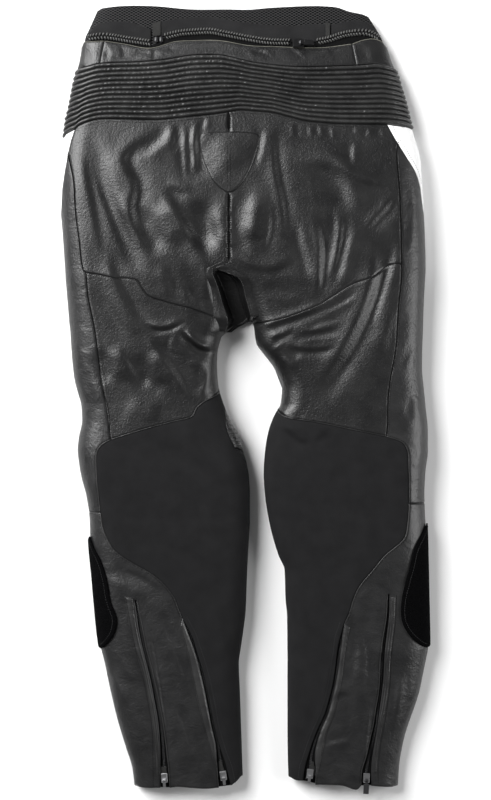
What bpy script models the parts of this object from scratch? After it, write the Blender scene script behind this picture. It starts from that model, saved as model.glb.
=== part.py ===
"""Black leather motorcycle trousers laid flat with the seat side up.

The garment is two flattened tubes that join above the crotch. Each half is unrolled from its outer
edge, so a panel is an outline in the unrolled cloth, and the same surface gives every panel its form.
Tables give places as across and down, in steps of the layout, from the upper left of the layout.
"""

import math

import bpy
import bmesh
import numpy as np
from mathutils import Matrix, Vector
from mathutils.geometry import delaunay_2d_cdt

# Driving sizes in metres
STEP = 0.0013  # one step of the layout
MIDDLE_ACROSS = 245.4405  # the layout's column above the origin
MIDDLE_DOWN = 399.2802  # the layout's row above the origin
LEATHER = 0.0018  # wall of a leather panel
FABRIC = 0.0014  # wall of stretch fabric and mesh
TAPE = 0.001  # wall of a zip tape
SHIELD = 0.0026  # wall of the seat shield
PATCH = 0.0016  # wall of a hook and loop patch
SEAM_GAP = 0.0003  # between two panels at a seam
CELL = 0.019  # the spacing of points in a panel of the upper side
CELL_UNDER = 0.034  # the same on the plain underside
KNOT = 0.019  # the longest stretch of seam between two of its points
EDGE_ROUND = 0.034  # how far in from the outline the upper side is rounded
EDGE_UNDER = 0.012  # the same on the underside
EDGE_SHARE = 0.42  # height of the outline's edge as a share of the thickness
CROWN = 0.005  # how much higher the middle is than the rounded edge
WRAP = 0.03  # how far the side panels reach round to the front
WRAP_CALF = 0.05  # the same for the calf panels
ACCORDION_RIBS = 12
RIB_RISE = 0.0011  # how far an accordion rib stands out from the panel's plain line

# Outline of the left half: down, outer edge, inner edge
LEFT_EDGE = (
    (2, 97, 229), (14, 91.6, 229), (26, 86.2, 229), (38, 81.4, 229), (50, 80.6, 229), (60, 79, 229),
    (75, 75.5, 229), (90, 72, 229), (105, 69.5, 229), (120, 66, 229), (139, 63.5, 229),
    (155, 62, 229), (175, 60.5, 229), (195, 60, 229), (240, 63, 229), (262, 64.5, 229),
    (268, 65, 226), (275, 65.3, 214.5), (291, 66.5, 219), (308, 68, 224), (320, 69, 227.5),
    (330, 70, 226), (337, 70.5, 221.5), (359, 72, 217), (380, 74.5, 217.7), (392, 77.5, 219.6),
    (405, 81, 224), (420, 82, 230), (438, 78.6, 239.6), (450, 77.5, 243), (464, 79, 247),
    (480, 82, 249.3), (495, 86, 250), (520, 89.5, 250), (540, 90, 249), (579, 93.5, 247),
    (608, 96, 246), (645, 100, 241.5), (664, 104.5, 239), (692, 110.3, 240), (720, 117, 241),
    (750, 126, 242), (768, 131.6, 242.6), (790, 134.4, 243.5),
)
# Outline of the right half: down, outer edge, inner edge
RIGHT_EDGE = (
    (2, 364, 229), (14, 371.5, 229), (26, 379, 229), (38, 385.4, 229), (50, 388.6, 229),
    (60, 391.8, 229), (75, 397.5, 229), (90, 402, 229), (105, 406.5, 229), (120, 410, 229),
    (129, 412.3, 229), (139, 415, 229), (150, 418.5, 229), (165, 421, 229), (180, 422, 229),
    (240, 425, 229), (262, 425.6, 229), (270, 425.6, 229.6), (276, 425.3, 236), (282, 425, 241.5),
    (300, 424, 245.5), (322, 423.3, 253), (344, 422.6, 256.5), (352, 422.3, 262), (368, 422.2, 274),
    (389, 424, 282), (404, 425.5, 280.6), (413, 426.5, 275.5), (429, 428, 269), (451, 428, 265),
    (473, 425.5, 263.6), (496, 424.6, 265), (521, 425.6, 269), (538, 426.2, 273), (557, 426.6, 279),
    (570, 427, 284.5), (600, 427.6, 285.5), (615, 428, 287), (647, 428.6, 287.4), (660, 426.4, 287.5),
    (675, 423.4, 287.5), (690, 420.4, 287.5), (705, 416, 287.5), (720, 410.6, 287.5), (735, 405.8, 287.5),
    (750, 402.4, 287.7), (765, 400, 288), (790, 398.4, 289),
)
# Where the front ends on the inner side, which differs from the back's edge round the crotch
LEFT_FRONT = ((262, 229), (282, 230), (300, 234), (312, 240), (317, 246), (320, 242.5), (325, 237),
              (330, 229), (337, 221.5))
RIGHT_FRONT = ((262, 229), (282, 230), (300, 234), (312, 240), (317, 246), (320, 250.5),
               (325, 254), (337, 255.6))
# Thickness laid flat: down, thickness in mm, how far the back's and the front's inner edges are closed
BODY = (
    (2, 22, 0, 0), (40, 24, 0, 0), (70, 31, 0, 0), (105, 36, 0, 0), (139, 40, 0, 0), (200, 44, 0, 0),
    (262, 45, 0, 0), (275, 45, 0.35, 0), (290, 44, 0.8, 0), (305, 43, 1, 0), (318, 42.6, 1, 0.15),
    (340, 42, 1, 1), (400, 40, 1, 1), (460, 41, 1, 1), (520, 39, 1, 1), (600, 35, 1, 1),
    (680, 30, 1, 1), (740, 26, 1, 1), (790, 22, 1, 1),
)
# Main folds of the upper side: height in mm, half width in mm, course
FOLDS = (
    (5, 9, ((98, 135), (106, 158), (107, 175), (116, 197), (125, 218), (133, 243), (143, 268), (147, 290))),
    (3.5, 8, ((76, 152), (80, 175), (84, 205), (88, 232))),
    (-5, 9, ((87, 160), (91, 190), (94, 215), (98, 240), (104, 262))),
    (4.5, 8, ((169, 128), (163, 142), (150, 154), (138, 162))),
    (-5, 9, ((152, 138), (138, 151), (122, 160))),
    (-5, 9, ((148, 165), (138, 185), (133, 205), (138, 230), (150, 252))),
    (6, 17, ((157, 203), (167, 225), (173, 246), (178, 262))),
    (-5.5, 8, ((165, 190), (180, 210), (192, 232), (203, 255), (211, 274))),
    (5, 9, ((192, 250), (201, 270), (206, 290), (214, 312), (218, 328))),
    (4, 8, ((186, 126), (185, 145), (188, 185))),
    (-7, 9, ((118, 262), (128, 290), (143, 318), (151, 338), (165, 360), (178, 378), (191, 400))),
    (4, 14, ((152, 350), (158, 368), (162, 388))),
    (4, 12, ((108, 345), (114, 365), (120, 385))),
    (8, 8, ((147, 329), (162, 331), (183, 326), (196, 334), (208, 342), (218, 340))),
    (-11, 9, ((186, 340), (200, 349), (216, 353))),
    (5, 12, ((160, 311), (188, 316), (208, 322))),
    (6, 12, ((268, 141), (267, 162), (261, 182), (252, 205), (252, 232))),
    (-6, 9, ((281, 128), (276, 150), (279, 180), (283, 205), (284, 235))),
    (8, 11, ((298, 185), (313, 175), (330, 180), (345, 195), (352, 215), (350, 240), (346, 262), (334, 296))),
    (7, 10, ((300, 216), (303, 235), (309, 255), (308, 276))),
    (-6, 8, ((318, 212), (326, 240), (326, 265), (321, 292))),
    (-6, 9, ((322, 158), (338, 169), (352, 182), (372, 190), (392, 192))),
    (-6, 9, ((393, 202), (380, 222), (368, 240), (372, 262), (376, 282))),
    (-10, 10, ((376, 282), (364, 314), (350, 344), (333, 372), (317, 396))),
    (6, 10, ((392, 262), (386, 285), (379, 310), (371, 338))),
    (-5, 9, ((240, 268), (262, 272), (290, 266), (308, 258))),
    (-7, 7, ((264, 337), (285, 327), (310, 316), (330, 312))),
    (5, 7, ((300, 338), (320, 330), (341, 327))),
    (-5, 7, ((284, 347), (308, 350), (335, 346))),
    (6, 7, ((265, 352), (273, 348), (284, 341))),
    (-6, 9, ((283, 428), (298, 440), (316, 432))),
    (-4, 10, ((180, 434), (200, 450), (222, 467))),
    (-4, 10, ((218, 606), (228, 634), (238, 654))),
    (4, 11, ((106, 658), (123, 678), (134, 706))),
    (4, 11, ((358, 632), (356, 660), (353, 684))),
    (4, 10, ((397, 672), (393, 705), (389, 738))),
)

# Seams and edges of the upper side: across, down
MESH_TOP = ((99, 7), (132, 5.5), (159, 6.5), (191, 9.6), (229, 9.8), (249, 10), (272, 8), (312, 6),
            (336, 7), (349, 11), (365, 13))
WAIST_TOP_LEFT = ((83.2, 42), (104.5, 42))
WAIST_TOP = ((104.5, 42), (124, 45), (150, 49.5), (175, 43), (191, 42), (220, 42), (249, 47),
             (272, 48), (320, 49), (352, 45))
WAIST_TOP_RIGHT = ((352, 45), (371, 39.5), (382.8, 41.5))
WAIST_SEAM_LEFT = ((104.5, 42), (100.5, 64.4))
WAIST_SEAM_RIGHT = ((352, 45), (356, 66.5))
ACCORDION_TOP_LEFT = ((85, 67.5), (92.7, 66), (100.5, 64.4))
ACCORDION_TOP = ((100.5, 64.4), (110.6, 64), (121, 63.6), (143, 63), (167, 60.6), (191, 56.6), (207, 56),
                 (223, 56.6), (249, 63), (268, 66), (288, 68), (304, 68.4), (320, 68), (338, 67.3), (356, 66.5))
ACCORDION_TOP_RIGHT = ((356, 66.5), (366, 65.7), (376, 65), (384, 66.3), (392, 67.5))
ACCORDION_BOTTOM_LEFT = ((76, 131), (80, 127.5), (96, 122), (112, 121), (136, 121.6), (160, 122),
                         (175, 120.7), (191, 119), (210, 117), (229, 114.3))
ACCORDION_BOTTOM_RIGHT = ((229, 114.3), (240, 112.5), (256, 113.5), (272, 115), (288, 119), (304, 123),
                          (320, 124.8), (336, 126), (360, 126.4), (386, 126.6))
YOKE_LEFT = ((87.6, 274), (101, 276), (114, 279), (138, 281.5), (144, 290), (149.5, 297), (163, 302),
             (178, 306), (197, 311), (217, 318))
YOKE_RIGHT = ((400, 264.6), (387, 267), (371.5, 278), (350.5, 286), (328, 300), (318, 306), (287, 318),
              (263, 323.6))
SIDE_LEFT_HIGH = ((69, 154), (75, 183), (77.4, 218), (80.6, 242), (84.4, 270.6), (87.6, 274))
SIDE_LEFT_LOW = ((87.6, 274), (89.5, 297), (96, 329), (100, 361), (105, 393), (110.6, 430), (112, 439.5))
SIDE_RIGHT_HIGH = ((395, 143), (395.5, 161), (398, 192), (399.4, 230), (400, 264.6))
SIDE_RIGHT_LOW = ((400, 264.6), (399.3, 285), (396.8, 310), (394, 352), (387, 394), (386.3, 420), (385, 436.4))
WHITE_LEFT = ((76, 131), (72, 142), (69, 154))
WHITE_LEFT_LOW = ((69, 154), (65.5, 172), (62.5, 190))
WHITE_RIGHT = ((386, 126.6), (390, 134), (395, 143))
WHITE_RIGHT_LOW = ((395, 143), (406, 160), (415, 174), (420, 188))
STRETCH_TOP_LEFT = ((221.5, 391), (208, 400), (197.6, 407.7), (192.4, 416.6), (172, 422), (153, 427),
                    (134, 432.5), (112, 439.5))
STRETCH_SIDE_LEFT = ((112, 439.5), (103, 444.6), (98, 453.6), (98, 471), (99, 488), (100.6, 502),
                     (101.6, 512))
STRETCH_CALF_LEFT = ((101.6, 512), (103.6, 525), (109.5, 540), (117, 550.5), (134, 562), (151.6, 572),
                     (164, 582), (174.6, 596), (180, 610), (183, 617))
STRETCH_TOP_RIGHT = ((278, 409), (288, 418), (301, 420), (314, 422), (330, 425), (347, 428.7), (366, 432.5),
                     (385, 436.4))
STRETCH_SIDE_RIGHT = ((385, 436.4), (400.5, 442), (405.6, 449.7), (407, 464), (407.8, 484), (407.8, 503))
STRETCH_CALF_RIGHT = ((407.8, 503), (406.5, 520), (404, 535), (399, 541.6), (384, 554), (371, 569.6),
                      (358.4, 585), (352, 599), (348.6, 611), (343.7, 622))
CROSS_LEFT = ((89.4, 512), (101.6, 512))
CROSS_RIGHT = ((423.6, 503), (407.8, 503))
KNEE_LEFT = ((225, 411), (226.5, 425), (229.5, 436), (235, 448))
# The lips of the four leg zips from their upper end to the hem
ANKLE_LEFT_CALF = ((183, 617), (190, 636), (195, 650), (200, 668), (204, 685), (208, 706), (212, 727),
                   (216, 745), (217, 762), (218, 775), (219, 787))
ANKLE_LEFT_STRETCH = ((183, 617), (192, 634), (198, 652), (203, 668), (207, 685), (211, 706), (215, 727),
                      (220.5, 747), (225.5, 762), (228.6, 775), (231, 785))
ANKLE_RIGHT_CALF = ((343.7, 622), (341, 642), (336, 678), (332, 696), (327.5, 713), (320, 731), (315, 751),
                    (315.6, 768), (315, 784))
ANKLE_RIGHT_STRETCH = ((343.7, 622), (338, 642), (333, 678), (329, 696), (324, 713), (316, 731), (309, 751),
                       (304.4, 768), (303, 780))
CALF_LEFT_OUT = ((135.4, 599), (141, 636), (151, 678), (155, 699), (158.6, 720), (160.4, 744), (160.5, 768),
                 (160.5, 787))
CALF_LEFT_IN = ((137.4, 599), (144.5, 636), (154.5, 678), (159, 699), (162.8, 720), (166, 744), (168.6, 768),
                (169.8, 787))
CALF_RIGHT_OUT = ((388.4, 593), (388, 615), (384, 650), (382.6, 678), (379.4, 706), (376.4, 727), (372, 755),
                  (371, 770), (371, 785))
CALF_RIGHT_IN = ((386.6, 593), (385.6, 615), (380.6, 650), (379, 678), (375.6, 706), (372.4, 727), (366, 755),
                 (361.6, 770), (361, 785))
HEM_LEFT_OUT = ((160.5, 787), (147, 787.5), (139, 787))
HEM_LEFT_IN = ((169.8, 787), (177, 786), (191, 787), (205, 788), (219, 787))
HEM_LEFT_STRETCH = ((231, 785), (237, 781), (241, 777))
HEM_RIGHT_OUT = ((371, 785), (380, 786), (392, 787))
HEM_RIGHT_IN = ((361, 785), (356, 789), (343, 785), (326, 784), (315, 784))
HEM_RIGHT_STRETCH = ((303, 780), (296, 780), (290.5, 778))

# Overlays: across, down
SHIELD_LINE = ((203, 136), (214, 134.6), (229, 134), (245, 134.5), (257, 136.4), (259.6, 141), (256.6, 154),
               (250, 172), (240, 188), (229, 195), (217, 187.5), (208, 173), (201.4, 154), (200.6, 140))
PATCH_LEFT = ((91.5, 536), (95, 546), (102, 559), (108, 578), (112, 600), (118, 618), (115, 633), (108, 643),
              (103, 648))
PATCH_RIGHT = ((425.5, 523), (421, 532), (413, 547), (408, 566), (403.4, 583), (400, 601), (400.6, 619),
               (407.5, 633), (418, 643), (425, 647))
TAPE_LEFT = ((86, 34), (97, 22.5), (130, 22.5), (151, 30), (151, 45.5), (128, 41.5), (104, 37), (88, 38.5))
TAPE_MIDDLE = ((153, 26), (161, 22), (194, 18), (211, 17.6), (242, 23), (290, 26.6), (306, 25), (329.6, 24),
               (329.6, 38.5), (318, 42), (270, 42), (250, 39.5), (223, 34), (190, 33), (166, 36.8), (153, 37))
TAPE_RIGHT = ((331, 25), (352, 21), (368, 22), (376, 29), (381.5, 38), (370, 35.5), (350, 35.5), (331, 39.5))
TAPE_LOWER = ((88, 39.8), (104, 38.4), (128, 42.8), (151, 47), (165, 38.2), (190, 34.4), (223, 35.4),
              (250, 41), (270, 43.4), (318, 43.4), (331, 40.8), (350, 37), (368, 36.4), (379, 38.2),
              (379, 39.8), (371, 38.7), (362, 41.4), (352, 48), (320, 53.4), (272, 52.4), (249, 51.4),
              (220, 46.4), (175, 47.4), (150, 54), (124, 49.4), (106, 45), (100, 41.2), (88, 41))
# Crotch gusset, front to back between the halves: down, left, seam, right, seam's height in mm
GUSSET = ((274, 215.5, 225, 234.6, 30), (284, 217.4, 228.5, 241, 15), (296, 220.8, 233, 244.2, 8),
          (306, 223.8, 237.6, 247.2, 6), (313, 225.8, 241, 249.3, 5.2))

MATERIALS = {
    "leather_black": ((0.035, 0.035, 0.038), 0.42, 0.0),
    "leather_white": ((0.86, 0.86, 0.85), 0.5, 0.0),
    "stretch_fabric": ((0.018, 0.018, 0.02), 0.85, 0.0),
    "hook_loop": ((0.006, 0.006, 0.007), 0.95, 0.0),
    "waist_mesh": ((0.05, 0.05, 0.055), 0.8, 0.0),
    "zip_tape": ((0.045, 0.045, 0.05), 0.85, 0.0),
    "zip_metal": ((0.5, 0.5, 0.52), 0.3, 1.0),
    "pull_plastic": ((0.02, 0.02, 0.022), 0.5, 0.0),
}


class Line:
    """A smooth line through the rows of a table, with no overshoot between them."""

    def __init__(self, rows):
        self.x, self.y = np.array(rows, float).T
        step = np.diff(self.x)
        slope = np.diff(self.y) / step
        self.m = np.zeros(len(self.x))
        self.m[0], self.m[-1] = slope[0], slope[-1]
        for i in range(1, len(slope)):
            if slope[i - 1] * slope[i] > 0:
                a, b = 2 * step[i] + step[i - 1], step[i] + 2 * step[i - 1]
                self.m[i] = (a + b) / (a / slope[i - 1] + b / slope[i])

    def __call__(self, t):
        t = np.clip(np.asarray(t, float), self.x[0], self.x[-1])
        i = np.clip(np.searchsorted(self.x, t) - 1, 0, len(self.x) - 2)
        h = self.x[i + 1] - self.x[i]
        f = (t - self.x[i]) / h
        return (
            self.y[i] * (1 + 2 * f) * (1 - f) ** 2
            + self.y[i + 1] * f * f * (3 - 2 * f)
            + h * (self.m[i] * f * (1 - f) ** 2 - self.m[i + 1] * f * f * (1 - f))
        )


def column(table, i):
    return Line([(row[0], row[i]) for row in table])


THICK, CLOSED, CLOSED_FRONT = column(BODY, 1), column(BODY, 2), column(BODY, 3)
OUTER = {"L": column(LEFT_EDGE, 1), "R": column(RIGHT_EDGE, 1)}
INNER = {"L": column(LEFT_EDGE, 2), "R": column(RIGHT_EDGE, 2)}


def front_edge(table, back):
    """The front's inner edge: the back's own, but for the stretch that the table covers."""
    rows = [(d, x) for d, x in zip(back.x, back.y) if d < table[0][0] - 2 or d > table[-1][0] + 2]
    return Line(sorted(rows + list(table)))


FRONT = {"L": front_edge(LEFT_FRONT, INNER["L"]), "R": front_edge(RIGHT_FRONT, INNER["R"])}


def smooth(t):
    t = np.clip(t, 0, 1)
    return t * t * (3 - 2 * t)


def folds(across, down):
    """How far the folds lift the upper side, in metres."""
    rise = np.zeros(np.shape(across))
    for height, half, course in FOLDS:
        near = np.full(np.shape(across), 1e9)
        along = np.zeros(np.shape(across))
        done, whole = 0.0, sum(math.dist(a, b) for a, b in zip(course, course[1:]))
        for (x0, y0), (x1, y1) in zip(course, course[1:]):
            long = math.dist((x0, y0), (x1, y1))
            t = np.clip(((across - x0) * (x1 - x0) + (down - y0) * (y1 - y0)) / long**2, 0, 1)
            gap = np.hypot(across - x0 - t * (x1 - x0), down - y0 - t * (y1 - y0)) * STEP
            closer = gap < near
            near = np.where(closer, gap, near)
            along = np.where(closer, (done + t * long) / whole, along)
            done += long
        taper = smooth(np.minimum(along, 1 - along) / 0.22 + 0.15)
        rise += height / 1000 * np.exp(-((near / (half / 1000)) ** 2)) * taper
    return rise


def section(side, v):
    """The measures of one half's cross-section at v metres down."""
    down = np.asarray(v, float) / STEP
    high, closed, front_closed = THICK(down) / 1000, CLOSED(down), CLOSED_FRONT(down)
    width = np.abs(INNER[side](down) - OUTER[side](down)) * STEP
    front = np.abs(FRONT[side](down) - OUTER[side](down)) * STEP
    edge = EDGE_SHARE * high
    narrow = np.clip(width / 0.19, 0.5, 1)
    out = EDGE_ROUND * narrow
    inn = EDGE_ROUND * 0.8 * narrow * closed
    under_in = EDGE_UNDER * front_closed
    quarter = math.pi / 2
    top_out = quarter * np.hypot(out, high - edge) / math.sqrt(2)
    top_in = quarter * np.hypot(inn, (high - edge) * closed) / math.sqrt(2)
    low_out = quarter * np.hypot(EDGE_UNDER, edge) / math.sqrt(2)
    low_in = quarter * np.hypot(under_in, edge * front_closed) / math.sqrt(2)
    return {
        "down": down, "high": high, "closed": closed, "front_closed": front_closed,
        "width": width, "front": front, "edge": edge,
        "out": out, "in": inn, "under_in": under_in,
        "top_out": top_out, "top_in": top_in, "low_out": low_out, "low_in": low_in,
        "top": top_out + width - out - inn + top_in,
        "low": low_out + front - EDGE_UNDER - under_in + low_in,
    }


def quarter_turn(distance, length, reach, drop):
    """One rounded edge: how far along and how far down at a distance into the turn."""
    turned = length > 1e-5
    angle = np.where(turned, distance / np.where(turned, length, 1) * math.pi / 2, 0)
    return np.where(turned, reach * np.sin(angle), distance), drop * (1 - np.cos(angle))


def place(side, u, v):
    """A point of the surface, u metres from the outer edge: the upper side is below nought."""
    u, v = np.asarray(u, float), np.asarray(v, float)
    s = section(side, v)
    a = -u
    first, last = s["top_out"], s["top"] - s["top_in"]
    angle = a / first * math.pi / 2
    far_in, fall = quarter_turn(np.maximum(a - last, 0), s["top_in"], s["in"],
                                (s["high"] - s["edge"]) * s["closed"])
    far = np.where(a < first, s["out"] * (1 - np.cos(angle)), s["out"] + np.minimum(a, last) - first + far_in)
    z = np.where(a < first, s["edge"] + (s["high"] - s["edge"]) * np.sin(angle), s["high"] - fall)
    share = np.clip(a / s["top"], 0, 1)
    crown = (1 - s["closed"]) * np.sin(share * math.pi / 2) + s["closed"] * np.sin(share * math.pi)
    sign = 1 if side == "L" else -1
    across = OUTER[side](s["down"]) + sign * far / STEP
    calm = smooth(a / first * 0.9) * np.where(
        s["top_in"] > 1e-5, smooth((s["top"] - a) / np.maximum(s["top_in"], 1e-5) * 0.9), 1
    )
    z_top = z + CROWN * crown + folds(across, s["down"]) * calm
    # Underside
    first, last = s["low_out"], s["low"] - s["low_in"]
    angle = u / first * math.pi / 2
    far_in, fall = quarter_turn(np.maximum(u - last, 0), s["low_in"], s["under_in"],
                                s["edge"] * s["front_closed"])
    far_low = np.where(u < first, EDGE_UNDER * (1 - np.cos(angle)),
                       EDGE_UNDER + np.minimum(u, last) - first + far_in)
    z_low = np.where(u < first, s["edge"] * (1 - np.sin(angle)), fall)
    upper = u < 0
    far = np.where(upper, far, far_low)
    x = (OUTER[side](s["down"]) - MIDDLE_ACROSS) * STEP + sign * far
    return np.stack([x, MIDDLE_DOWN * STEP - v, np.where(upper, z_top, z_low)], -1)


def outward(side, u, v):
    """The surface's normal, pointing out of the garment."""
    e = 0.0015
    along = place(side, u + e, v) - place(side, u - e, v)
    down = place(side, u, v + e) - place(side, u, v - e)
    n = np.cross(along, down) * (1 if side == "L" else -1)
    return n / np.linalg.norm(n, axis=-1, keepdims=True)


def upper_u(side, across, down):
    """Where a place seen from above lies in the unrolled cloth."""
    s = section(side, down * STEP)
    far = abs(across - float(OUTER[side](down))) * STEP
    if far < s["out"]:
        return -float(s["top_out"] * math.acos(max(1 - far / s["out"], 0)) / (math.pi / 2))
    if far <= s["width"] - s["in"]:
        return -float(s["top_out"] + far - s["out"])
    turn = min((far - (s["width"] - s["in"])) / max(s["in"], 1e-9), 1)
    return -float(s["top"] - s["top_in"] + s["top_in"] * math.asin(turn) / (math.pi / 2))


def lower_u(side, across, down):
    """The same for a place on the flat of the underside."""
    s = section(side, down * STEP)
    far = abs(across - float(OUTER[side](down))) * STEP
    return float(s["low_out"] + max(far, EDGE_UNDER) - EDGE_UNDER)


class Chart:
    """A flat drawing of cloth round an outer edge, an inner edge or the middle of the back or front."""

    def __init__(self, kind, side="L"):
        self.kind, self.side = kind, side

    def halves(self, p, v):
        """The half and the unrolled distance of each point of the drawing."""
        if self.kind == "outer":
            return [(self.side, p, np.ones(len(p), bool))]
        if self.kind == "inner":
            s = section(self.side, v)
            return [(self.side, np.where(p >= 0, p - s["top"], s["low"] + p), np.ones(len(p), bool))]
        left, right = section("L", v), section("R", v)
        if self.kind == "back":
            return [("L", -(left["top"] + p), p < 0), ("R", -(right["top"] - p), p >= 0)]
        return [("L", left["low"] + p, p < 0), ("R", right["low"] - p, p >= 0)]

    def solid(self, flat, depth):
        """Points of the cloth, each at its own depth below the outer surface."""
        p, v = np.array(flat, float).T
        depth = np.broadcast_to(np.asarray(depth, float), p.shape)
        out = np.zeros((len(p), 3))
        for side, u, mine in self.halves(p, v):
            if mine.any():
                out[mine] = place(side, u[mine], v[mine]) - depth[mine, None] * outward(side, u[mine], v[mine])
        return out

    def knot(self, point):
        """Where a seam's point lies in the drawing. A point is across and down on the upper side, or it
        names where it is: ("rim", half, u, down), ("inner", down) or ("under", across, down)."""
        if point[0] == "inner":
            down = point[1]
            s = section(self.side, down * STEP)
            if self.kind == "inner":
                return 0.0, down * STEP
            return (float(s["low"]) if point[-1] == "low" else -float(s["top"])), down * STEP
        if point[0] == "rim":
            side, u, down = point[1:]
        elif point[0] == "under":
            down = point[2]
            side = self.side
            if self.kind == "front":
                side = "L" if point[1] < 229 else "R"
            u = lower_u(side, point[1], down)
        else:
            down = point[1]
            side = self.side
            if self.kind == "back":
                side = "L" if point[0] < 229 else "R"
            u = upper_u(side, point[0], down)
        if self.kind == "outer":
            return u, down * STEP
        s = section(side, down * STEP)
        reach = float(s["top"]) + u if self.kind in ("inner", "back") and u <= 0.02 else float(s["low"]) - u
        if self.kind == "inner":
            return (reach if u <= 0 else -reach), down * STEP
        if self.kind == "back":
            reach = float(s["top"]) + u
        return (-reach if side == "L" else reach), down * STEP


def finely(points, gap=KNOT):
    """A seam's points with more between those that lie far apart."""
    out = []
    for a, b in zip(points, points[1:]):
        n = max(1, math.ceil(math.dist(a, b) * STEP / gap))
        out += [(a[0] + (b[0] - a[0]) * i / n, a[1] + (b[1] - a[1]) * i / n) for i in range(n)]
    return out + [points[-1]]


def back(points):
    return list(reversed(points))


def inner_run(start, stop, layer="top", gap=KNOT):
    """Knots down or up the inner edge of a half."""
    n = max(1, math.ceil(abs(stop - start) * STEP / gap))
    return [("inner", start + (stop - start) * i / n, layer) for i in range(n + 1)]


def rim_run(side, rows, gap=KNOT):
    """Knots along a line that rows of (u, down) give, round the outer edge."""
    out = []
    for (u0, d0), (u1, d1) in zip(rows, rows[1:]):
        n = max(1, math.ceil(math.hypot(u1 - u0, (d1 - d0) * STEP) / gap))
        out += [("rim", side, u0 + (u1 - u0) * i / n, d0 + (d1 - d0) * i / n) for i in range(n)]
    return out + [("rim", side, *rows[-1])]


def under_run(points, gap=CELL_UNDER):
    return [("under", x, y) for x, y in finely(points, gap)]


def outline(chart, runs):
    """The closed line that runs of knots make, with no point twice."""
    flat = []
    for run in runs:
        for point in run:
            p = chart.knot(point)
            if not flat or math.dist(p, flat[-1]) > 1e-5:
                flat.append(p)
    while math.dist(flat[0], flat[-1]) < 1e-5:
        flat.pop()
    return flat


def pulled_in(flat, gap):
    """The same line a little smaller, so that two panels don't touch at their seam."""
    n = len(flat)
    turn = sum(flat[i][0] * flat[(i + 1) % n][1] - flat[(i + 1) % n][0] * flat[i][1] for i in range(n))
    sign = 1 if turn > 0 else -1
    out = []
    for i in range(n):
        a, b, c = Vector(flat[i - 1]), Vector(flat[i]), Vector(flat[(i + 1) % n])
        d0, d1 = (b - a).normalized(), (c - b).normalized()
        n0, n1 = Vector((-d0.y, d0.x)) * sign, Vector((-d1.y, d1.x)) * sign
        mid = n0 + n1
        if mid.length < 1e-6:
            mid = n0.copy()
        mid.normalize()
        out.append(tuple(b + mid * gap / max(mid.dot(n0), 0.35)))
    return out


def inside(flat, points, margin):
    """Which points lie inside the line, and at least margin from it."""
    a = np.array(flat)
    b = np.roll(a, -1, axis=0)
    x, y = points[:, :1], points[:, 1:]
    crosses = ((a[:, 1] > y) != (b[:, 1] > y)) & (
        x < (b[:, 0] - a[:, 0]) * (y - a[:, 1])
        / np.where(b[:, 1] == a[:, 1], 1e-12, b[:, 1] - a[:, 1]) + a[:, 0]
    )
    d = b - a
    t = np.clip(((x - a[:, 0]) * d[:, 0] + (y - a[:, 1]) * d[:, 1]) / (d**2).sum(1), 0, 1)
    gap = np.hypot(x - a[:, 0] - t * d[:, 0], y - a[:, 1] - t * d[:, 1]).min(1)
    return (crosses.sum(1) % 2 == 1) & (gap > margin)


def filled(flat, cell, margin):
    """Triangles over the area inside a line, on a staggered grid that all panels share."""
    lo, hi = np.min(flat, 0), np.max(flat, 0)
    row = cell * 0.87
    grid = [
        (i * cell + (j % 2) * cell / 2, j * row)
        for j in range(math.floor(lo[1] / row), math.ceil(hi[1] / row) + 1)
        for i in range(math.floor(lo[0] / cell) - 1, math.ceil(hi[0] / cell) + 1)
    ]
    grid = np.array(grid)
    grid = grid[inside(flat, grid, margin)]
    points = [Vector(p) for p in list(flat) + [tuple(g) for g in grid]]
    loop = list(range(len(flat)))
    verts, _, faces, *_ = delaunay_2d_cdt(points, [], [loop], 1, 1e-7)
    return np.array([tuple(p) for p in verts]), [tuple(f) for f in faces]


def collection():
    made = bpy.data.collections.new("motorcycle_trousers")
    bpy.context.scene.collection.children.link(made)
    return made


def material(slot):
    found = bpy.data.materials.get(slot)
    if found:
        return found
    colour, rough, metal = MATERIALS[slot]
    made = bpy.data.materials.new(slot)
    made.use_nodes = True
    shader = made.node_tree.nodes["Principled BSDF"]
    shader.inputs["Base Color"].default_value = (*colour, 1)
    shader.inputs["Roughness"].default_value = rough
    shader.inputs["Metallic"].default_value = metal
    made.diffuse_color = (*colour, 1)
    return made


def body(name, verts, faces, slot):
    """One named solid in the garment's collection, with its faces turned outward."""
    mesh = bpy.data.meshes.new(name)
    mesh.from_pydata([tuple(map(float, p)) for p in verts], [], faces)
    bm = bmesh.new()
    bm.from_mesh(mesh)
    bmesh.ops.recalc_face_normals(bm, faces=bm.faces)
    bm.to_mesh(mesh)
    bm.free()
    obj = bpy.data.objects.new(name, mesh)
    GARMENT.objects.link(obj)
    mesh.materials.append(material(slot))
    return obj


def wall(outer, inner, faces):
    """A closed wall between two layers of points that share their faces."""
    n = len(outer)
    edges = {}
    for f in faces:
        for a, b in zip(f, f[1:] + f[:1]):
            if (b, a) in edges:
                del edges[(b, a)]
            else:
                edges[(a, b)] = True
    out = [tuple(f) for f in faces] + [tuple(i + n for i in reversed(f)) for f in faces]
    out += [(b, a, a + n, b + n) for a, b in edges]
    return np.vstack([outer, inner]), out


def panel(name, chart, runs, slot, thick=LEATHER, depth=0.0, cell=CELL, margin=None, gap=SEAM_GAP / 2):
    """A piece of cloth inside a closed line of seams and edges."""
    flat = pulled_in(outline(chart, runs), gap)
    points, faces = filled(flat, cell, cell * 0.42 if margin is None else margin)
    verts, faces = wall(chart.solid(points, depth), chart.solid(points, depth + thick), faces)
    return body(name, verts, faces, slot)


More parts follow.
